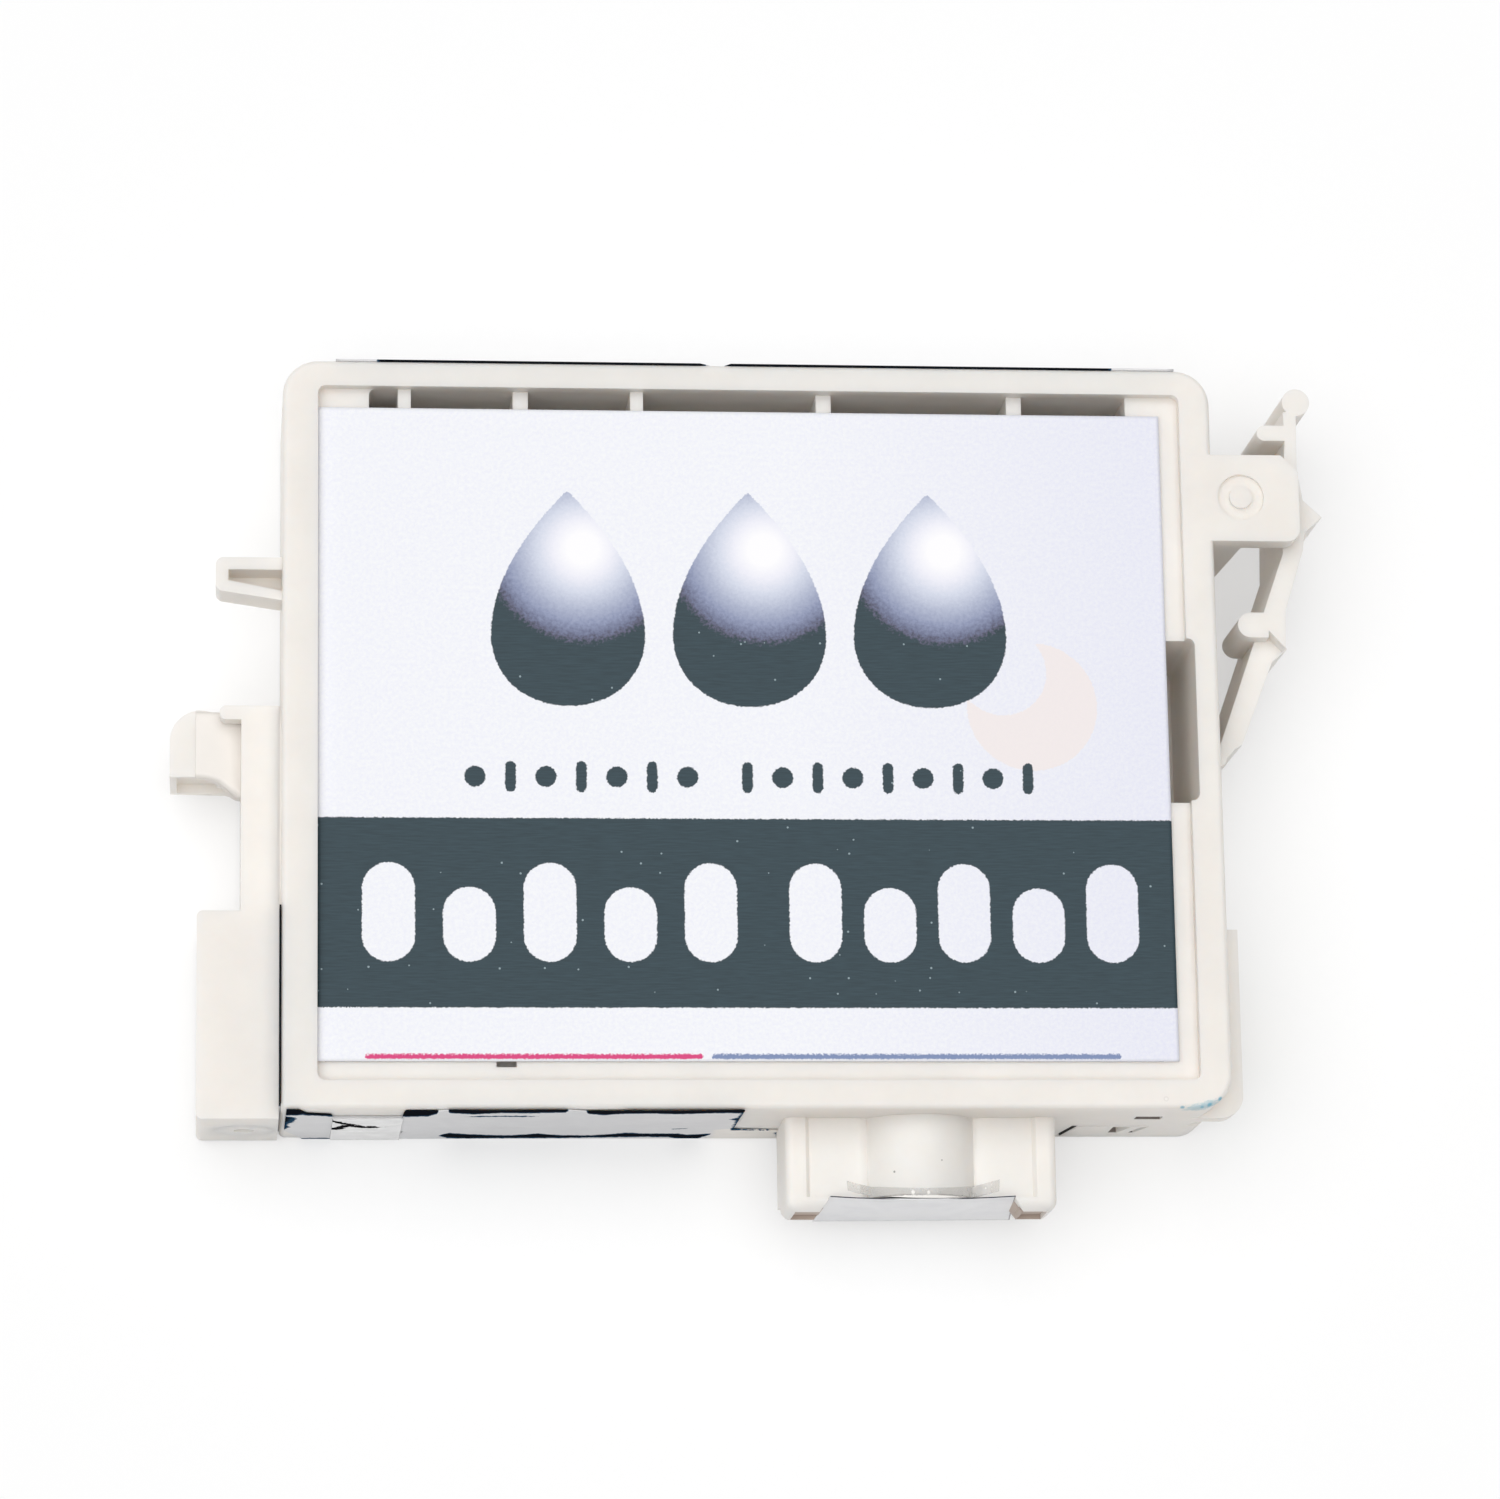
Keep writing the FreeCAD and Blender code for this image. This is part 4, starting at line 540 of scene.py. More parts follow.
def bottom_flap(sizes):
    """The flap along the bottom: x = start(z) + u (end(z) - start(z)), y = outwards from the fold less the
    bulge, and z up the profile, squeezed to the cut line top(x). It bulges along the lower wrinkle and at
    its free edge, and has wrinkles where it was pulled."""
    out, up = flap_profile(sizes.fold_radius, WRAP_HIGH.z, 56)
    u = np.linspace(0, 1, 300)[:, None]
    start = through(up, ((0, -29.0), (3.8, -30.35), (11.9, -30.3)))
    end = through(up, ((0, 2.6), (1.2, 2.9), (2.4, 2.7), (3.6, 1.9), (3.95, -1.1), (11.9, -1.05)))
    x = start + u * (end - start)
    top = through(x, (
        (-29.5, 11.9), (-29.0, 10.6), (-27.4, 10.1), (-27.3, 9.1), (-22.85, 9.1), (-22.75, 11.6),
        (-20.5, 11.6), (-19.9, 11.9), (-12.3, 11.9), (-11, 11.5), (-8.9, 11.6), (-8.6, 11.9)))
    z = up * np.minimum(1, top / WRAP_HIGH.z)
    low_edge = through(x, (
        (-20.3, 1.2), (-20.0, 2.4), (-19.6, 3.0), (-18.2, 2.4), (-16.6, 1.9), (-15.4, 1.9), (-13.8, 3.0),
        (-12.4, 2.0), (-10.3, 1.9), (-8.7, 2.8), (-8.0, 3.3), (-7.0, 2.9), (-4.6, 2.7), (-3.9, 2.1),
        (-2.3, 2.6)))
    foot = through(x, (
        (-20.3, 1.6), (-19.6, 0.5), (-18.2, 0.3), (-15.4, 0.5), (-12.4, 0.5), (-9.4, 0.8), (-7.0, 1.0),
        (-5.2, 0.9), (-4.6, 0.4), (-3.9, 0.1), (-3.1, 0.2), (-2.3, 2.3)))
    high_edge = through(x, (
        (-30.3, 9.9), (-29.6, 9.9), (-29.2, 10.3), (-29.0, 10.0), (-27.35, 9.5), (-27.3, 9.6),
        (-22.8, 9.6), (-22.7, 9.3), (-21.2, 9.6), (-20.7, 10.6), (-20.6, 12.6), (-20.1, 12.6),
        (-19.9, 10.9), (-18.3, 10.4), (-16.6, 11.1), (-14.7, 10.9), (-12.5, 11.2), (-12.2, 12.6),
        (-11.4, 12.6), (-11.0, 10.6), (-9.9, 10.1), (-8.7, 10.9), (-6.9, 11.2), (-5.3, 10.8),
        (-3.5, 11.1), (-1.9, 11.1), (-1.7, 10.9)))
    crease_line = through(x, ((-20, 9.3), (-18, 9.5), (-16, 9.6), (-14, 9.5), (-12, 9.9)))
    crease = 0.22 * MM - np.abs(z - crease_line) - np.maximum(np.abs(x + 16.6 * MM) - 1.6 * MM, 0) * 0.3
    left_rag = through(z, (
        (0, -31), (3.6, -30.8), (4.4, -30.2), (5.4, -30.0), (6.2, -30.15), (7.2, -29.9), (8.0, -29.75),
        (8.8, -29.6), (9.3, -29.75), (9.7, -30.4), (10, -31))) - x
    wedge_edge = through(z, (
        (3.9, -1.3), (6, -1.22), (7.8, -1.25), (8.1, -1.65), (8.6, -1.6), (8.9, -1.25), (11.9, -1.2)))
    right_wedge = np.minimum(x - wedge_edge, z - 3.8 * MM)
    left_line = 0.26 * MM - np.abs(z - 0.45 * MM) - np.maximum(np.abs(x + 28.35 * MM) - 0.95 * MM, 0)
    nick = ridge(x, z, -4.7, 4.6, 0.8, 0.3, 12) * 0.5 * MM - 0.3 * MM
    lower = np.where((x > -20.3 * MM) & (x < -2.4 * MM), np.minimum(low_edge - z, z - foot), -1 * MM)
    slit = np.where(x > -1.0 * MM, 0.04 * MM - np.abs(z - 3.75 * MM), -1 * MM)
    torn = np.minimum(x - through(z, ((0, 2.3), (3.5, 1.6))), 3.0 * MM - z)
    dark = np.max([z - high_edge, lower, crease, left_rag, right_wedge, left_line, nick, slit, torn], axis=0)
    pale = np.maximum(x + 2.3 * MM, -1 * MM) - 0.5 * np.maximum(z - 4.2 * MM, 0) * 10
    bulge = wrinkles(x, z, FLAP_WRINKLES) * sizes.film_crinkle * np.minimum(z / (1.0 * MM), 1)
    points = np.stack([x, WRAP_LOW.y - out[None, :] - bulge, z], -1)
    return points, {"dark": dark, "pale": pale}


# The depth of a place outside every mark, and of one on the torn edge, where no dark shows
OUTSIDE, BARE = -1 * MM, -0.3 * MM
# The back panel narrows over its last stretch by so much, and ripples in waves of these radians per metre
PANEL_END, PANEL_NARROWING = 2.3 * MM, 2.0 * MM
RIPPLE, WAVE_ACROSS, WAVE_UP = 0.02 * MM, 260, 310
# The two straight flaps: their ends, where their silver ends, and the nick in the top one's edge
TOP_ENDS, LEFT_ENDS = (-27.2 * MM, 28.35 * MM), (-24.375 * MM, -11.55 * MM)
TOP_SILVER, LEFT_SILVER = 10.9 * MM, 10.4 * MM
NICK_MIDDLE, NICK_HALF, NICK_DEPTH = -2.15 * MM, 0.6 * MM, 0.9 * MM
# Where the top flap's dark edge is torn off: left of the first place, right of the second, round the third
TORN_LEFT, TORN_RIGHT, TORN_MIDDLE, TORN_HALF = -24.5 * MM, 24.1 * MM, -2.1 * MM, 0.8 * MM


def wrap_mesh(sizes):
    """The wrap film: a flat back panel and three flaps that leave it through folds. The top and left flaps
    stand straight: along the fold, outwards and up the profile."""
    fold = sizes.fold_radius
    across, up_back = np.meshgrid(np.linspace(WRAP_LOW.x + fold, WRAP_HIGH.x, 62),
                                  np.linspace(WRAP_LOW.y + fold, WRAP_HIGH.y - fold, 50), indexing="ij")
    near_end = np.maximum(across - WRAP_HIGH.x + PANEL_END, 0) / PANEL_END
    up_back = up_back * (1 - near_end ** 2 * PANEL_NARROWING / WRAP_HIGH.y)
    ripple = RIPPLE * (1 + np.sin(across * WAVE_ACROSS) * np.sin(up_back * WAVE_UP))
    back = np.stack([across, up_back, ripple], -1)[:, ::-1]
    unmarked = np.full(back.shape[:2], OUTSIDE)
    panel = (back, {"dark": unmarked, "pale": unmarked})

    out, up = flap_profile(fold, WRAP_HIGH.z, 24)
    along, _ = np.meshgrid(np.linspace(*TOP_ENDS, 110), up, indexing="ij")
    nick = NICK_DEPTH * np.exp(-((along - NICK_MIDDLE) / NICK_HALF) ** 4)
    z = np.broadcast_to(up, along.shape) * (1 - nick / WRAP_HIGH.z)
    top = np.stack([along, np.broadcast_to(WRAP_HIGH.y + out, along.shape), z], -1)[::-1]
    torn_off = (along < TORN_LEFT) | (along > TORN_RIGHT) | (np.abs(along - TORN_MIDDLE) < TORN_HALF)
    top_dark = np.where(torn_off, BARE, z - TOP_SILVER)[::-1]
    top_flap = (top, {"dark": top_dark, "pale": np.full(z.shape, OUTSIDE)})

    along, _ = np.meshgrid(np.linspace(*LEFT_ENDS, 30), up, indexing="ij")
    z = np.broadcast_to(up, along.shape)
    left = np.stack([np.broadcast_to(WRAP_LOW.x - out, along.shape), along, z], -1)[::-1]
    left_flap = (left, {"dark": (z - LEFT_SILVER)[::-1], "pale": np.full(z.shape, OUTSIDE)})
    return grid_mesh("wrap_sheet", [panel, bottom_flap(sizes), top_flap, left_flap])


def tape_mesh(sizes):
    """The tape patch over x and z: y = the film's outer face less the crinkles, with a branching crack."""
    x, z = np.meshgrid(np.linspace(TAPE_LOW.x, TAPE_HIGH.x, 80),
                       np.linspace(TAPE_LOW.z, TAPE_HIGH.z + 0.3 * MM, 60), indexing="ij")
    y = TAPE_LOW.y - sizes.film_crinkle * (0.3 + wrinkles(x, z, TAPE_WRINKLES))
    crack = np.max([wide * MM - np.abs(z - through(x, line))
                    - np.maximum(np.abs(x - at * MM) - reach * MM, 0) * taper
                    for line, at, wide, reach, taper in CRACKS], axis=0)
    return grid_mesh("tape_sheet", [(np.stack([x, y, z], -1), {"crack": crack})])


PORT_X = (SEAL_LOW.x + SEAL_HIGH.x) / 2
BARREL_Z = (SEAL_LOW.z + SEAL_HIGH.z) / 2
BARREL_RADIUS = 4.0 * MM
PANEL_Z = 8.05 * MM


def port_front(x):
    """The height of the port's front, an arc over the flat panels: max(panel, zb + sqrt(r^2 - dx^2))."""
    arc = BARREL_Z + np.sqrt(np.maximum(BARREL_RADIUS ** 2 - (x - PORT_X) ** 2, 0))
    return np.maximum(arc, PANEL_Z)


def port_plate_mesh(sizes):
    """The film over the port's end: x between two slanting edges, z from the top t = 0 down to t = 1, and
    y = end face - 0.08 mm - bow (1 - u^2)(1 - t)^2 - curl t^2, for u from -1 to 1 across."""
    u, t = np.meshgrid(1 - 2 * np.linspace(0, 1, 90) ** 1.5, np.linspace(0, 1, 90) ** 1.5, indexing="ij")
    low = (4.63 - 0.30 * t) * MM
    high = (16.66 + 0.64 * t) * MM
    x = low + (u + 1) / 2 * (high - low)
    top = (9.40 + 0.35 * (1 - u ** 2)) * MM
    bottom = (1.55 + 0.25 * u) * MM
    z = top + t * (bottom - top)
    y = SEAL_LOW.y - (0.08 + 0.24 * (1 - u ** 2) * (1 - t) ** 2 + 0.45 * t ** 2) * MM
    y = y - sizes.film_crinkle * wrinkles(x, z, PORT_WRINKLES)
    # The dark rim: painted shadow of the slit under the two ends of the top edge, and a dark line along the
    # right edge
    top_slit_shadow = 0.05 * MM - t * (top - bottom) + np.minimum(np.abs(u) - 0.45, 0) * 0.5 * MM
    side_rim = 0.05 * MM - (1 - u) / 2 * (high - low)
    rim = np.maximum(top_slit_shadow, side_rim)
    return grid_mesh("port_plate", [(np.stack([x, y, z], -1)[:, ::-1], {"rim": rim[:, ::-1]})])


def port_strip_mesh():
    """The strip turned onto the port's front: y between two bent edges, y = e0 + e1 s + e2 s^2 for s from -1
    to 1 along it, and z = port_front(x) + 0.05 mm. Small bubbles sit under it, and it is milky where it
    hangs free."""
    s, t = np.meshgrid(np.linspace(-1, 1, 150), np.linspace(0, 1, 24), indexing="ij")
    x = PORT_X + (0.12 + (4.93 + 0.05 * t) * s) * MM
    lower = (-30.25 - 0.04 * s + 0.71 * s ** 2) * MM
    upper = (-29.61 + 0.04 * s + 0.76 * s ** 2) * MM
    y = lower + t * (upper - lower)
    z = port_front(x) + 0.05 * MM
    bubble = np.max([radius * MM - np.hypot(x - at * MM, (y + down * MM) * 0.8) for at, down, radius in
                     ((9.95, 29.86, 0.14), (10.95, 29.88, 0.11), (11.75, 29.85, 0.05), (6.6, 29.42, 0.03),
                      (14.9, 29.38, 0.03))], axis=0)
    bubble = np.maximum(bubble, np.minimum(-30.04 * MM - y, 0.14 * MM))
    return grid_mesh("port_strip", [(np.stack([x, y, z], -1), {"bubble": bubble})])


LOBE_END = CASE_LOW.y
LOBE_FOOT = 4.2 * MM
LOBE_ROUNDING = 0.76 * MM
LOBE_RECESS = 0.38 * MM
PORT_HALF = 8.825 * MM


def lobe_shade_mesh():
    """Painted shade in the hollows in the ends of the port's two lobes: a darker sheet over each. Each runs
    from the lobe's rounded end, y = end + r - sqrt(r^2 - (r - x)^2) for x below r, level to the recess's
    floor and then up along it. Its inner side slants with the lobe."""
    level_share = 0.3
    share, t = np.meshgrid(np.linspace(0, 1, 40), np.linspace(0, 1, 30), indexing="ij")
    inside = np.clip(t / level_share, 0, 1) * LOBE_RECESS
    inwards = (0.12 + share * (2.03 + 0.7 * inside / (0.95 * MM))) * MM
    inwards = np.maximum(inwards, np.where(inside > 0.3 * MM, 0.62 * MM, 0))
    rounded = np.maximum(LOBE_ROUNDING - inwards, 0)
    outer = LOBE_END + LOBE_ROUNDING - np.sqrt(LOBE_ROUNDING ** 2 - rounded ** 2)
    y = np.maximum(LOBE_END + inside, outer)
    z = LOBE_FOOT + (0.3 + np.maximum(t - level_share, 0) / (1 - level_share) * 3.2) * MM
    left = np.stack([PORT_X - PORT_HALF + inwards, y, z], -1)[::-1]
    right = np.stack([PORT_X + PORT_HALF - inwards, y, z], -1)
    # The right lobe's slanted side, which the port's film leaves bare, gets the painted shade too
    outwards, height = np.meshgrid(np.linspace(0, 1, 12), np.linspace(0, 1, 12), indexing="ij")
    x = PORT_X + PORT_HALF - (2.88 - 0.70 * outwards) * MM
    side = np.stack([x, LOBE_END + (0.94 - 0.92 * outwards) * MM, LOBE_FOOT + height * 3.3 * MM], -1)
    return grid_mesh("lobe_shade_linings", [(left, {}), (right, {}), (side, {})])


# The hook's flank, in millimetres: its left end, its width, its height there, the line of its lower edge,
# how far that line moves out for each millimetre over the hook, and its upper end under the finger
FLANK_LEFT, FLANK_WIDTH, FLANK_HIGH = -36.2, 2.96, 7.98
FLANK_LOW, FLANK_SHIFT, FLANK_TOP = -2.32, 0.222, 2.0
HOOK_PROFILE = ((-36.2, 7.97), (-35.75, 7.81), (-35.4, 7.59), (-34.92, 7.07), (-34.55, 6.4), (-33.8, 3.89),
                (-33.25, 2.0))


def hook_flank_mesh():
    """The hook's flank down to the bar: x across it for s from 0 to 1, z = z0 - 0.10 s - 0.35 s^2 in mm, and
    y from a curved lower edge up to the finger."""
    s, t = np.meshgrid(np.linspace(0, 1, 60), np.linspace(0, 1, 16), indexing="ij")
    x = (FLANK_LEFT + FLANK_WIDTH * s) * MM
    z = (FLANK_HIGH - 0.10 * s - 0.35 * s ** 2) * MM
    low = FLANK_LOW * MM - FLANK_SHIFT * np.maximum(z - through(x, HOOK_PROFILE), 0)
    y = low + t * (FLANK_TOP * MM - low)
    return grid_mesh("hook_flank", [(np.stack([x, y, z], -1), {})])


# The openings in the bottom wall, in millimetres: the front and back of their painted shade linings, and the
# left end, the right end and the floor of the end slot and of the two windows
OPENING_FRONT, OPENING_BACK = -24.74, -23.62
OPENING_FLOORS = ((24.86, 26.58, 7.33), (24.02, 24.58, 1.73), (25.32, 25.68, 1.73))
# The joint of block and case, in millimetres: its left and right, its ends and its height
JOINT_LEFT, JOINT_RIGHT, JOINT_START, JOINT_END, JOINT_HIGH = -30.95, -30.60, -11.4, 2.0, 9.39


def patch(corners):
    """A flat four-sided patch: (1-s)(1-t) A + s(1-t) B + s t C + (1-s) t D."""
    s, t = np.meshgrid(np.linspace(0, 1, 8), np.linspace(0, 1, 8), indexing="ij")
    shares = np.stack([(1 - s) * (1 - t), s * (1 - t), s * t, (1 - s) * t], -1)
    return shares @ (np.array(corners) * MM), {}


def opening_shade_mesh():
    """Painted shade on the floors of the end slot and of the two windows in the bottom wall: a darker flat
    patch on each.
    """
    floors = [patch([(low, OPENING_FRONT, z), (high, OPENING_FRONT, z), (high, OPENING_BACK, z),
                     (low, OPENING_BACK, z)]) for low, high, z in OPENING_FLOORS]
    return grid_mesh("opening_shade_linings", floors)


def gap_shadow_mesh():
    """Painted shadow on the side of the slanted gap in the bottom wall: one dark flat patch."""
    return grid_mesh("gap_shadow_lining", [patch([
        (20.96, OPENING_FRONT, 0.42), (21.56, OPENING_FRONT, 4.73), (21.56, OPENING_BACK, 4.73),
        (20.96, OPENING_BACK, 0.42)])])


def seam_mesh():
    """The flash along the joint of block and case: a flat strip just below the bar's top."""
    return grid_mesh("block_seam", [patch([
        (JOINT_LEFT, JOINT_START, JOINT_HIGH), (JOINT_RIGHT, JOINT_START, JOINT_HIGH),
        (JOINT_RIGHT, JOINT_END, JOINT_HIGH), (JOINT_LEFT, JOINT_END, JOINT_HIGH)])])


# The stage: the camera that fits the photograph, a wide soft lamp, and how bright floor and sky are
CAMERA_PLACE = (-35.17 * MM, -81.63 * MM, 364.92 * MM)
CAMERA_TURN = (12.835, -5.493, 0.325)
FOCAL_LENGTH, SENSOR_WIDTH = 134.4, 36
LAMP_STRENGTH, LAMP_WIDTH, LAMP_TURN = 2.45, 76, (-1, -11, 0)
FLOOR_SIZE, FLOOR_GLOW, SKY_LEVEL = 4.0, 0.45, 0.22


class CARTRIDGE_OT_mouldings(bpy.types.Operator):
    """Rounded case, lever and air valve block"""

    bl_idname = "cartridge.mouldings"
    bl_label = "Mouldings"

    def execute(self, context):
        scene = context.scene
        colours = scene.cartridge_colours
        plain = moulded_plastic("Moulded polypropylene", colours)
        handled = moulded_plastic("Moulded polypropylene, handled", colours, marked=True)
        thin = moulded_plastic("Moulded polypropylene, thin wall", colours, scatter=0.0)
        for node, name, body, material in (
                ("case", "case_moulding", "case_body", handled),
                ("latch_lever", "lever_moulding", "lever_body", plain),
                ("air_valve_block", "block_moulding", "case_body", plain)):
            piece = add_piece(scene, name, softened_mesh(node, name), material, body, node)
            bevel = piece.modifiers.new("Edge rounding", "BEVEL")
            bevel.width = scene.cartridge_sizes.edge_rounding
            bevel.segments = 2
            bevel.limit_method = "ANGLE"
            bevel.angle_limit = math.radians(38)
            bevel.miter_outer = "MITER_ARC"
            bevel.use_clamp_overlap = True
            piece.modifiers.new("Face weights", "WEIGHTED_NORMAL")
        flank = add_piece(scene, "hook_flank", hook_flank_mesh(), thin, "case_body",
                          "air_valve_block")
        thicken(flank, "Wall thickness", 0.8 * MM)
        # Darker sheets laid over the floors of the port's lobe hollows and of the bottom wall's openings,
        # and over the side of its slanted gap, are painted shade; the strip along the block's joint is plain
        # plastic
        hollow_shade = solid_finish("Moulded polypropylene, painted hollow shade", "B3A195", "BFAFA3", 500.0, (0.5, 0.6))
        shaded = solid_finish("Moulded polypropylene, painted recess shade", "5E5752", "857C76", 900.0, (0.7, 0.8))
        black = solid_finish("Moulded polypropylene, painted gap shadow", "0C0B0B", "1E1B19", 900.0, (0.7, 0.8))
        for mesh, material in ((lobe_shade_mesh(), hollow_shade), (opening_shade_mesh(), shaded),
                               (gap_shadow_mesh(), black), (seam_mesh(), thin)):
            lining = add_piece(scene, mesh.name, mesh, material, "case_body", "case")
            thicken(lining, "Wall thickness", 0.1 * MM)
        for node in ("air_valve_cap", "pressure_valve_cover"):
            assign(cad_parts[node], plain)
        return {"FINISHED"}


class CARTRIDGE_OT_label(bpy.types.Operator):
    """Printed paper label on the front"""

    bl_idname = "cartridge.label"
    bl_label = "Label"

    def execute(self, context):
        scene = context.scene
        piece = add_piece(scene, "label_sheet", label_mesh(scene.cartridge_sizes),
                          printed_paper(scene.cartridge_colours), "case_body", "paper_label")
        thicken(piece, "Paper thickness", LABEL_HIGH.z - LABEL_LOW.z)
        return {"FINISHED"}


class CARTRIDGE_OT_films(bpy.types.Operator):
    """Wrap film with its folded flaps, and the tape patch"""

    bl_idname = "cartridge.films"
    bl_label = "Films"

    def execute(self, context):
        scene = context.scene
        sizes = scene.cartridge_sizes
        wrap = add_piece(scene, "wrap_sheet", wrap_mesh(sizes), wrap_foil(scene.cartridge_colours),
                         "case_body", "wrap_film")
        thicken(wrap, "Film thickness", sizes.film_thickness)
        cracked = clear_sheet("Clear polypropylene tape", "FFFFFF", 0.94, 900.0, "crack")
        tape = add_piece(scene, "tape_sheet", tape_mesh(sizes), cracked, "case_body",
                         "tape_patch")
        thicken(tape, "Film thickness", TAPE_HIGH.y - TAPE_LOW.y)
        welded = clear_sheet("Clear polypropylene film", "DADAD6", 0.35, 600.0)
        assign(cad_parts["chamber_film"], welded)
        return {"FINISHED"}


class CARTRIDGE_OT_port_seal(bpy.types.Operator):
    """Seal film over the supply port and the strip turned onto its front"""

    bl_idname = "cartridge.port_seal"
    bl_label = "Port Seal"

    def execute(self, context):
        scene = context.scene
        # The plate's dark rim is partly painted shadow of the slit under its top edge
        plate = clear_sheet("Heat-sealed polyester film", "F1F2F7", 1.0, 400.0, "rim", "2B2C3C", 0.01 * MM)
        strip = clear_sheet("Heat-sealed polyester film, clear strip", "8F8A80", 0.34, 500.0, "bubble",
                            "F7F4F0", 0.03 * MM)
        for mesh, material in ((port_plate_mesh(scene.cartridge_sizes), plate), (port_strip_mesh(), strip)):
            piece = add_piece(scene, mesh.name, mesh, material, "case_body", "port_seal_film")
            thicken(piece, "Film thickness", 0.06 * MM)
        return {"FINISHED"}


class CARTRIDGE_OT_working_parts(bpy.types.Operator):
    """Finishes of the valves, springs, rubbers, filter and breather"""

    bl_idname = "cartridge.working_parts"
    bl_label = "Working Parts"

    def execute(self, context):
        valve = solid_finish("Moulded acetal", "D9D9D4", "E6E6E1", 400.0, (0.3, 0.42))
        rubber = solid_finish("Moulded silicone rubber", "2B2C2E", "3A3B3D", 1500.0, (0.55, 0.72))
        wire = solid_finish("Drawn stainless spring wire", "8C8C8F", "A6A6A9", 2500.0, (0.22, 0.36),
                            metallic=1.0)
        felt = solid_finish("Expanded fluoropolymer membrane", "E4E4E2", "F4F4F3", 5000.0, (0.8, 0.95))
        cloth = woven_mesh()
        for names, material in ((("supply_valve", "air_valve_plunger"), valve),
                                (("supply_seal", "air_valve_seal", "pressure_membrane"), rubber),
                                (("pressure_spring", "supply_spring", "air_valve_spring"), wire),
                                (("breather_membrane",), felt), (("supply_filter",), cloth)):
            for name in names:
                assign(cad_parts[name], material)
        return {"FINISHED"}


class CARTRIDGE_OT_board(bpy.types.Operator):
    """Finishes of the memory board, its contacts and its chip"""

    bl_idname = "cartridge.board"
    bl_label = "Memory Board"

    def execute(self, context):
        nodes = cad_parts
        assign(nodes["memory_board"], solid_finish(
            "Glass-epoxy laminate with green solder resist", "1D5A3C", "2A6E4B", 3500.0, (0.3, 0.45)))
        assign(nodes["board_contacts"], solid_finish(
            "Gold-plated copper contact", "C99A45", "E0B45C", 5000.0, (0.2, 0.4), metallic=1.0,
            stretch=(1.0, 1.0, 0.15)))
        assign(nodes["memory_chip"], solid_finish(
            "Cast epoxy over the chip", "141416", "222225", 1200.0, (0.15, 0.3)))
        return {"FINISHED"}


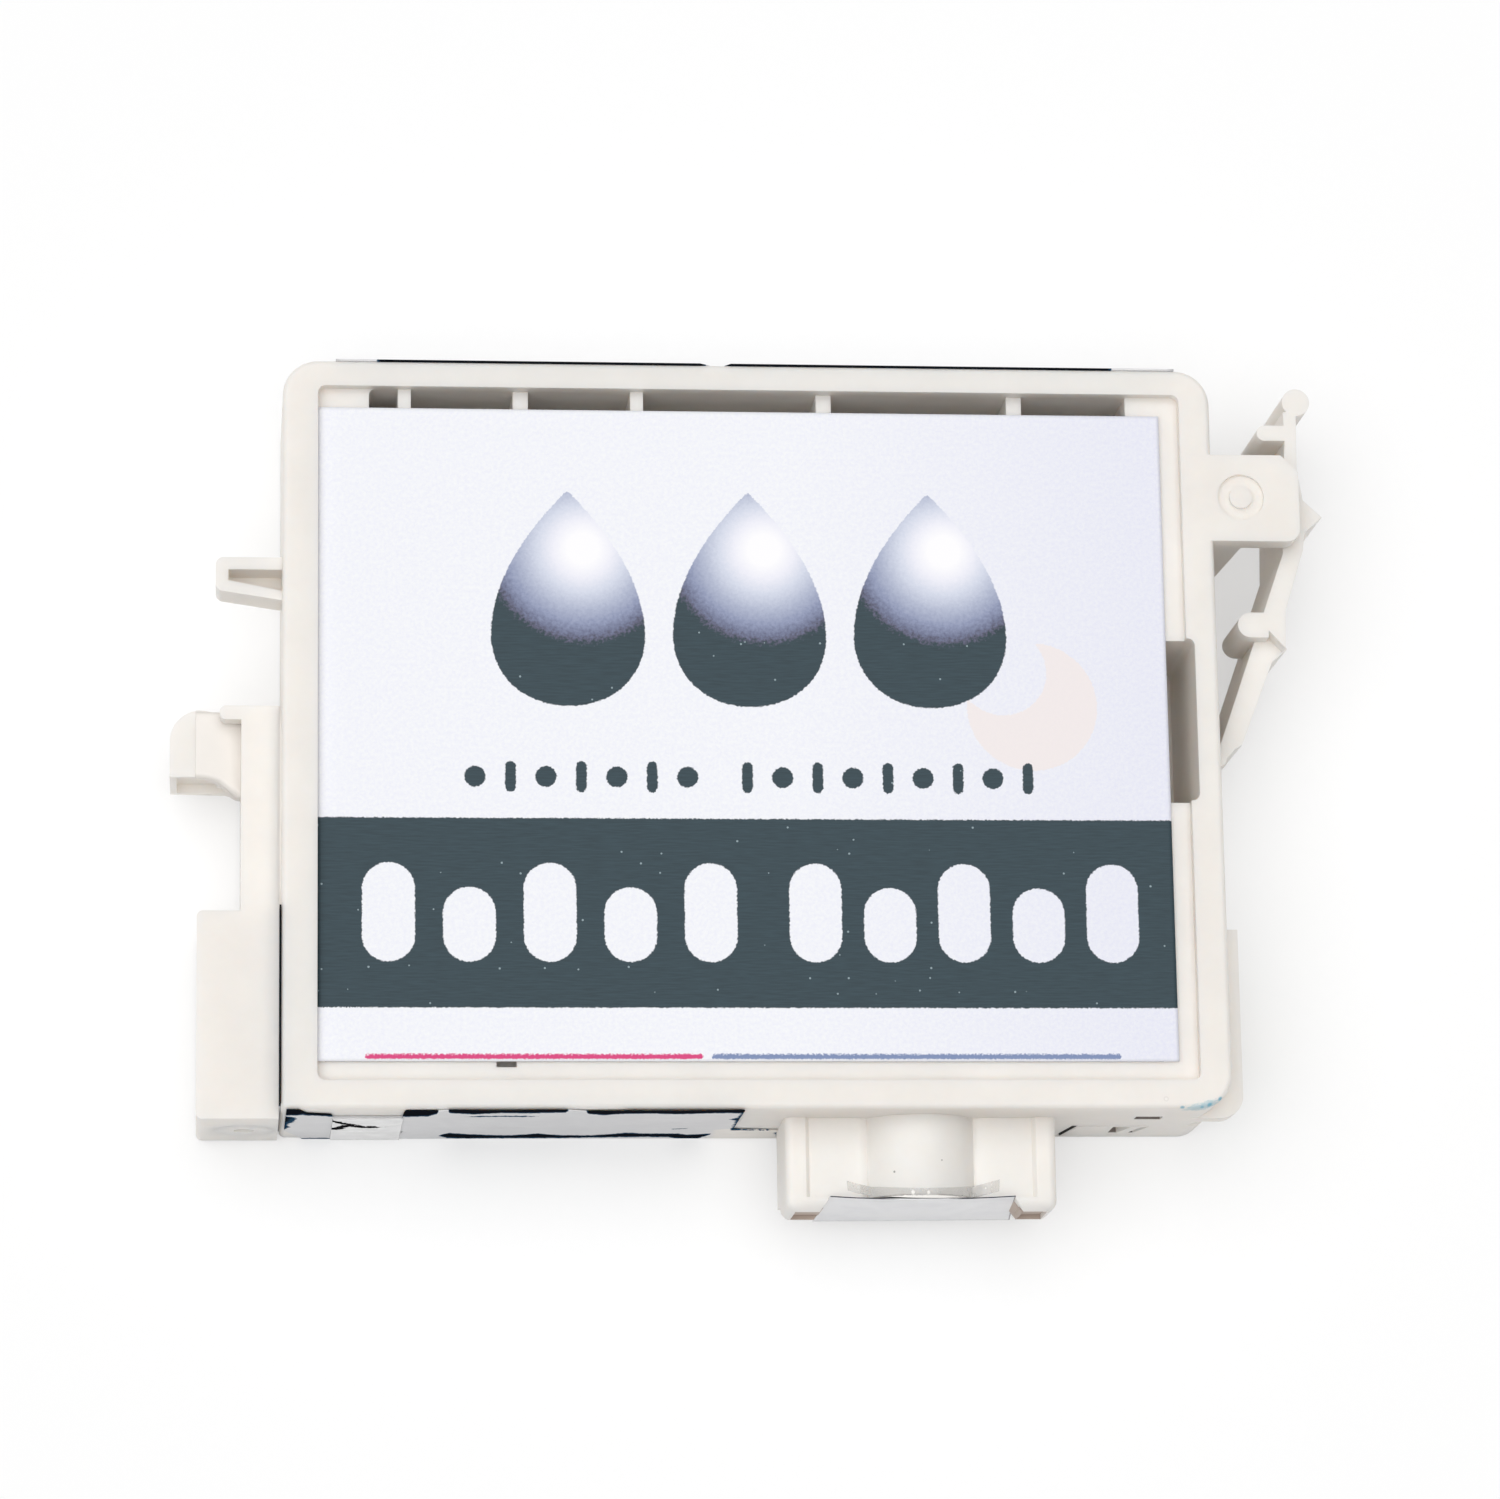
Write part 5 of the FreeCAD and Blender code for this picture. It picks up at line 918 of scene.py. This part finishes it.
class CARTRIDGE_OT_stage(bpy.types.Operator):
    """Pale floor, soft studio light and the camera"""

    bl_idname = "cartridge.stage"
    bl_label = "Stage"

    def execute(self, context):
        scene = context.scene
        bpy.ops.mesh.primitive_plane_add(size=FLOOR_SIZE, location=(0, 0, 0))
        floor = context.object
        floor.name = "floor"
        material, add, _ = new_material("Matt white paper sweep")
        matt = add("ShaderNodeBsdfDiffuse", {"Color": (1.0, 1.0, 1.0, 1.0)})
        lit = add("ShaderNodeEmission", {"Color": (1.0, 1.0, 1.0, 1.0), "Strength": 1.0})
        rays = add("ShaderNodeLightPath")
        share = add("ShaderNodeMath", {0: rays.outputs["Is Camera Ray"], 1: FLOOR_GLOW},
                    operation="MULTIPLY")
        surface = add("ShaderNodeMixShader", {0: share, 1: matt, 2: lit})
        add("ShaderNodeOutputMaterial", {"Surface": surface})
        floor.data.materials.append(material)

        world = bpy.data.worlds.new("Studio")
        scene.world = world
        world.use_nodes = True
        world.node_tree.nodes.clear()
        add = functools.partial(add_node, world.node_tree)
        rays = add("ShaderNodeLightPath").outputs
        seen = add("ShaderNodeMath", {0: rays["Is Camera Ray"], 1: rays["Is Glossy Ray"]},
                   operation="MAXIMUM")
        seen = add("ShaderNodeMath", {0: seen, 1: rays["Is Transmission Ray"]}, operation="MAXIMUM")
        level = add("ShaderNodeMapRange", {"Value": seen, "To Min": SKY_LEVEL, "To Max": 1.0})
        light = add("ShaderNodeBackground", {"Color": (1.0, 1.0, 1.0, 1.0), "Strength": level})
        add("ShaderNodeOutputWorld", {"Surface": light})

        lamp = bpy.data.lights.new("Key", "SUN")
        lamp.energy = LAMP_STRENGTH
        lamp.angle = math.radians(LAMP_WIDTH)
        key = bpy.data.objects.new("Key", lamp)
        key.rotation_euler = Euler([math.radians(angle) for angle in LAMP_TURN])
        scene.collection.objects.link(key)

        lens = bpy.data.cameras.new("Camera")
        lens.sensor_width = SENSOR_WIDTH
        lens.lens = FOCAL_LENGTH
        lens.clip_start = 0.01
        lens.clip_end = 10
        camera = bpy.data.objects.new("Camera", lens)
        camera.rotation_mode = "ZYX"
        camera.location = CAMERA_PLACE
        camera.rotation_euler = Euler([math.radians(angle) for angle in CAMERA_TURN], "ZYX")
        scene.collection.objects.link(camera)
        scene.camera = camera
        scene.view_settings.view_transform = "Standard"
        return {"FINISHED"}


class CARTRIDGE_PT_panel(bpy.types.Panel):
    """Lists the sizes, the colours and the pieces"""

    bl_idname = "CARTRIDGE_PT_panel"
    bl_label = "Ink Cartridge"
    bl_space_type = "VIEW_3D"
    bl_region_type = "UI"
    bl_category = "Cartridge"

    def draw(self, context):
        layout = self.layout
        for group in (context.scene.cartridge_sizes, context.scene.cartridge_colours):
            box = layout.box()
            for name in group.__annotations__:
                box.prop(group, name)
        for operator in OPERATORS:
            layout.operator(operator.bl_idname)


GROUPS = (CartridgeSizes, CartridgeColours)
OPERATORS = (CARTRIDGE_OT_mouldings, CARTRIDGE_OT_label, CARTRIDGE_OT_films, CARTRIDGE_OT_port_seal,
             CARTRIDGE_OT_working_parts, CARTRIDGE_OT_board, CARTRIDGE_OT_stage)


def register():
    for item in GROUPS + OPERATORS + (CARTRIDGE_PT_panel,):
        bpy.utils.register_class(item)
    bpy.types.Scene.cartridge_sizes = bpy.props.PointerProperty(type=CartridgeSizes)
    bpy.types.Scene.cartridge_colours = bpy.props.PointerProperty(type=CartridgeColours)


def unregister():
    del bpy.types.Scene.cartridge_sizes
    del bpy.types.Scene.cartridge_colours
    for item in reversed(GROUPS + OPERATORS + (CARTRIDGE_PT_panel,)):
        bpy.utils.unregister_class(item)


def main():
    register()
    bpy.ops.cartridge.mouldings()
    bpy.ops.cartridge.label()
    bpy.ops.cartridge.films()
    bpy.ops.cartridge.port_seal()
    bpy.ops.cartridge.working_parts()
    bpy.ops.cartridge.board()
    bpy.ops.cartridge.stage()


if __name__ == "__main__":
    main()
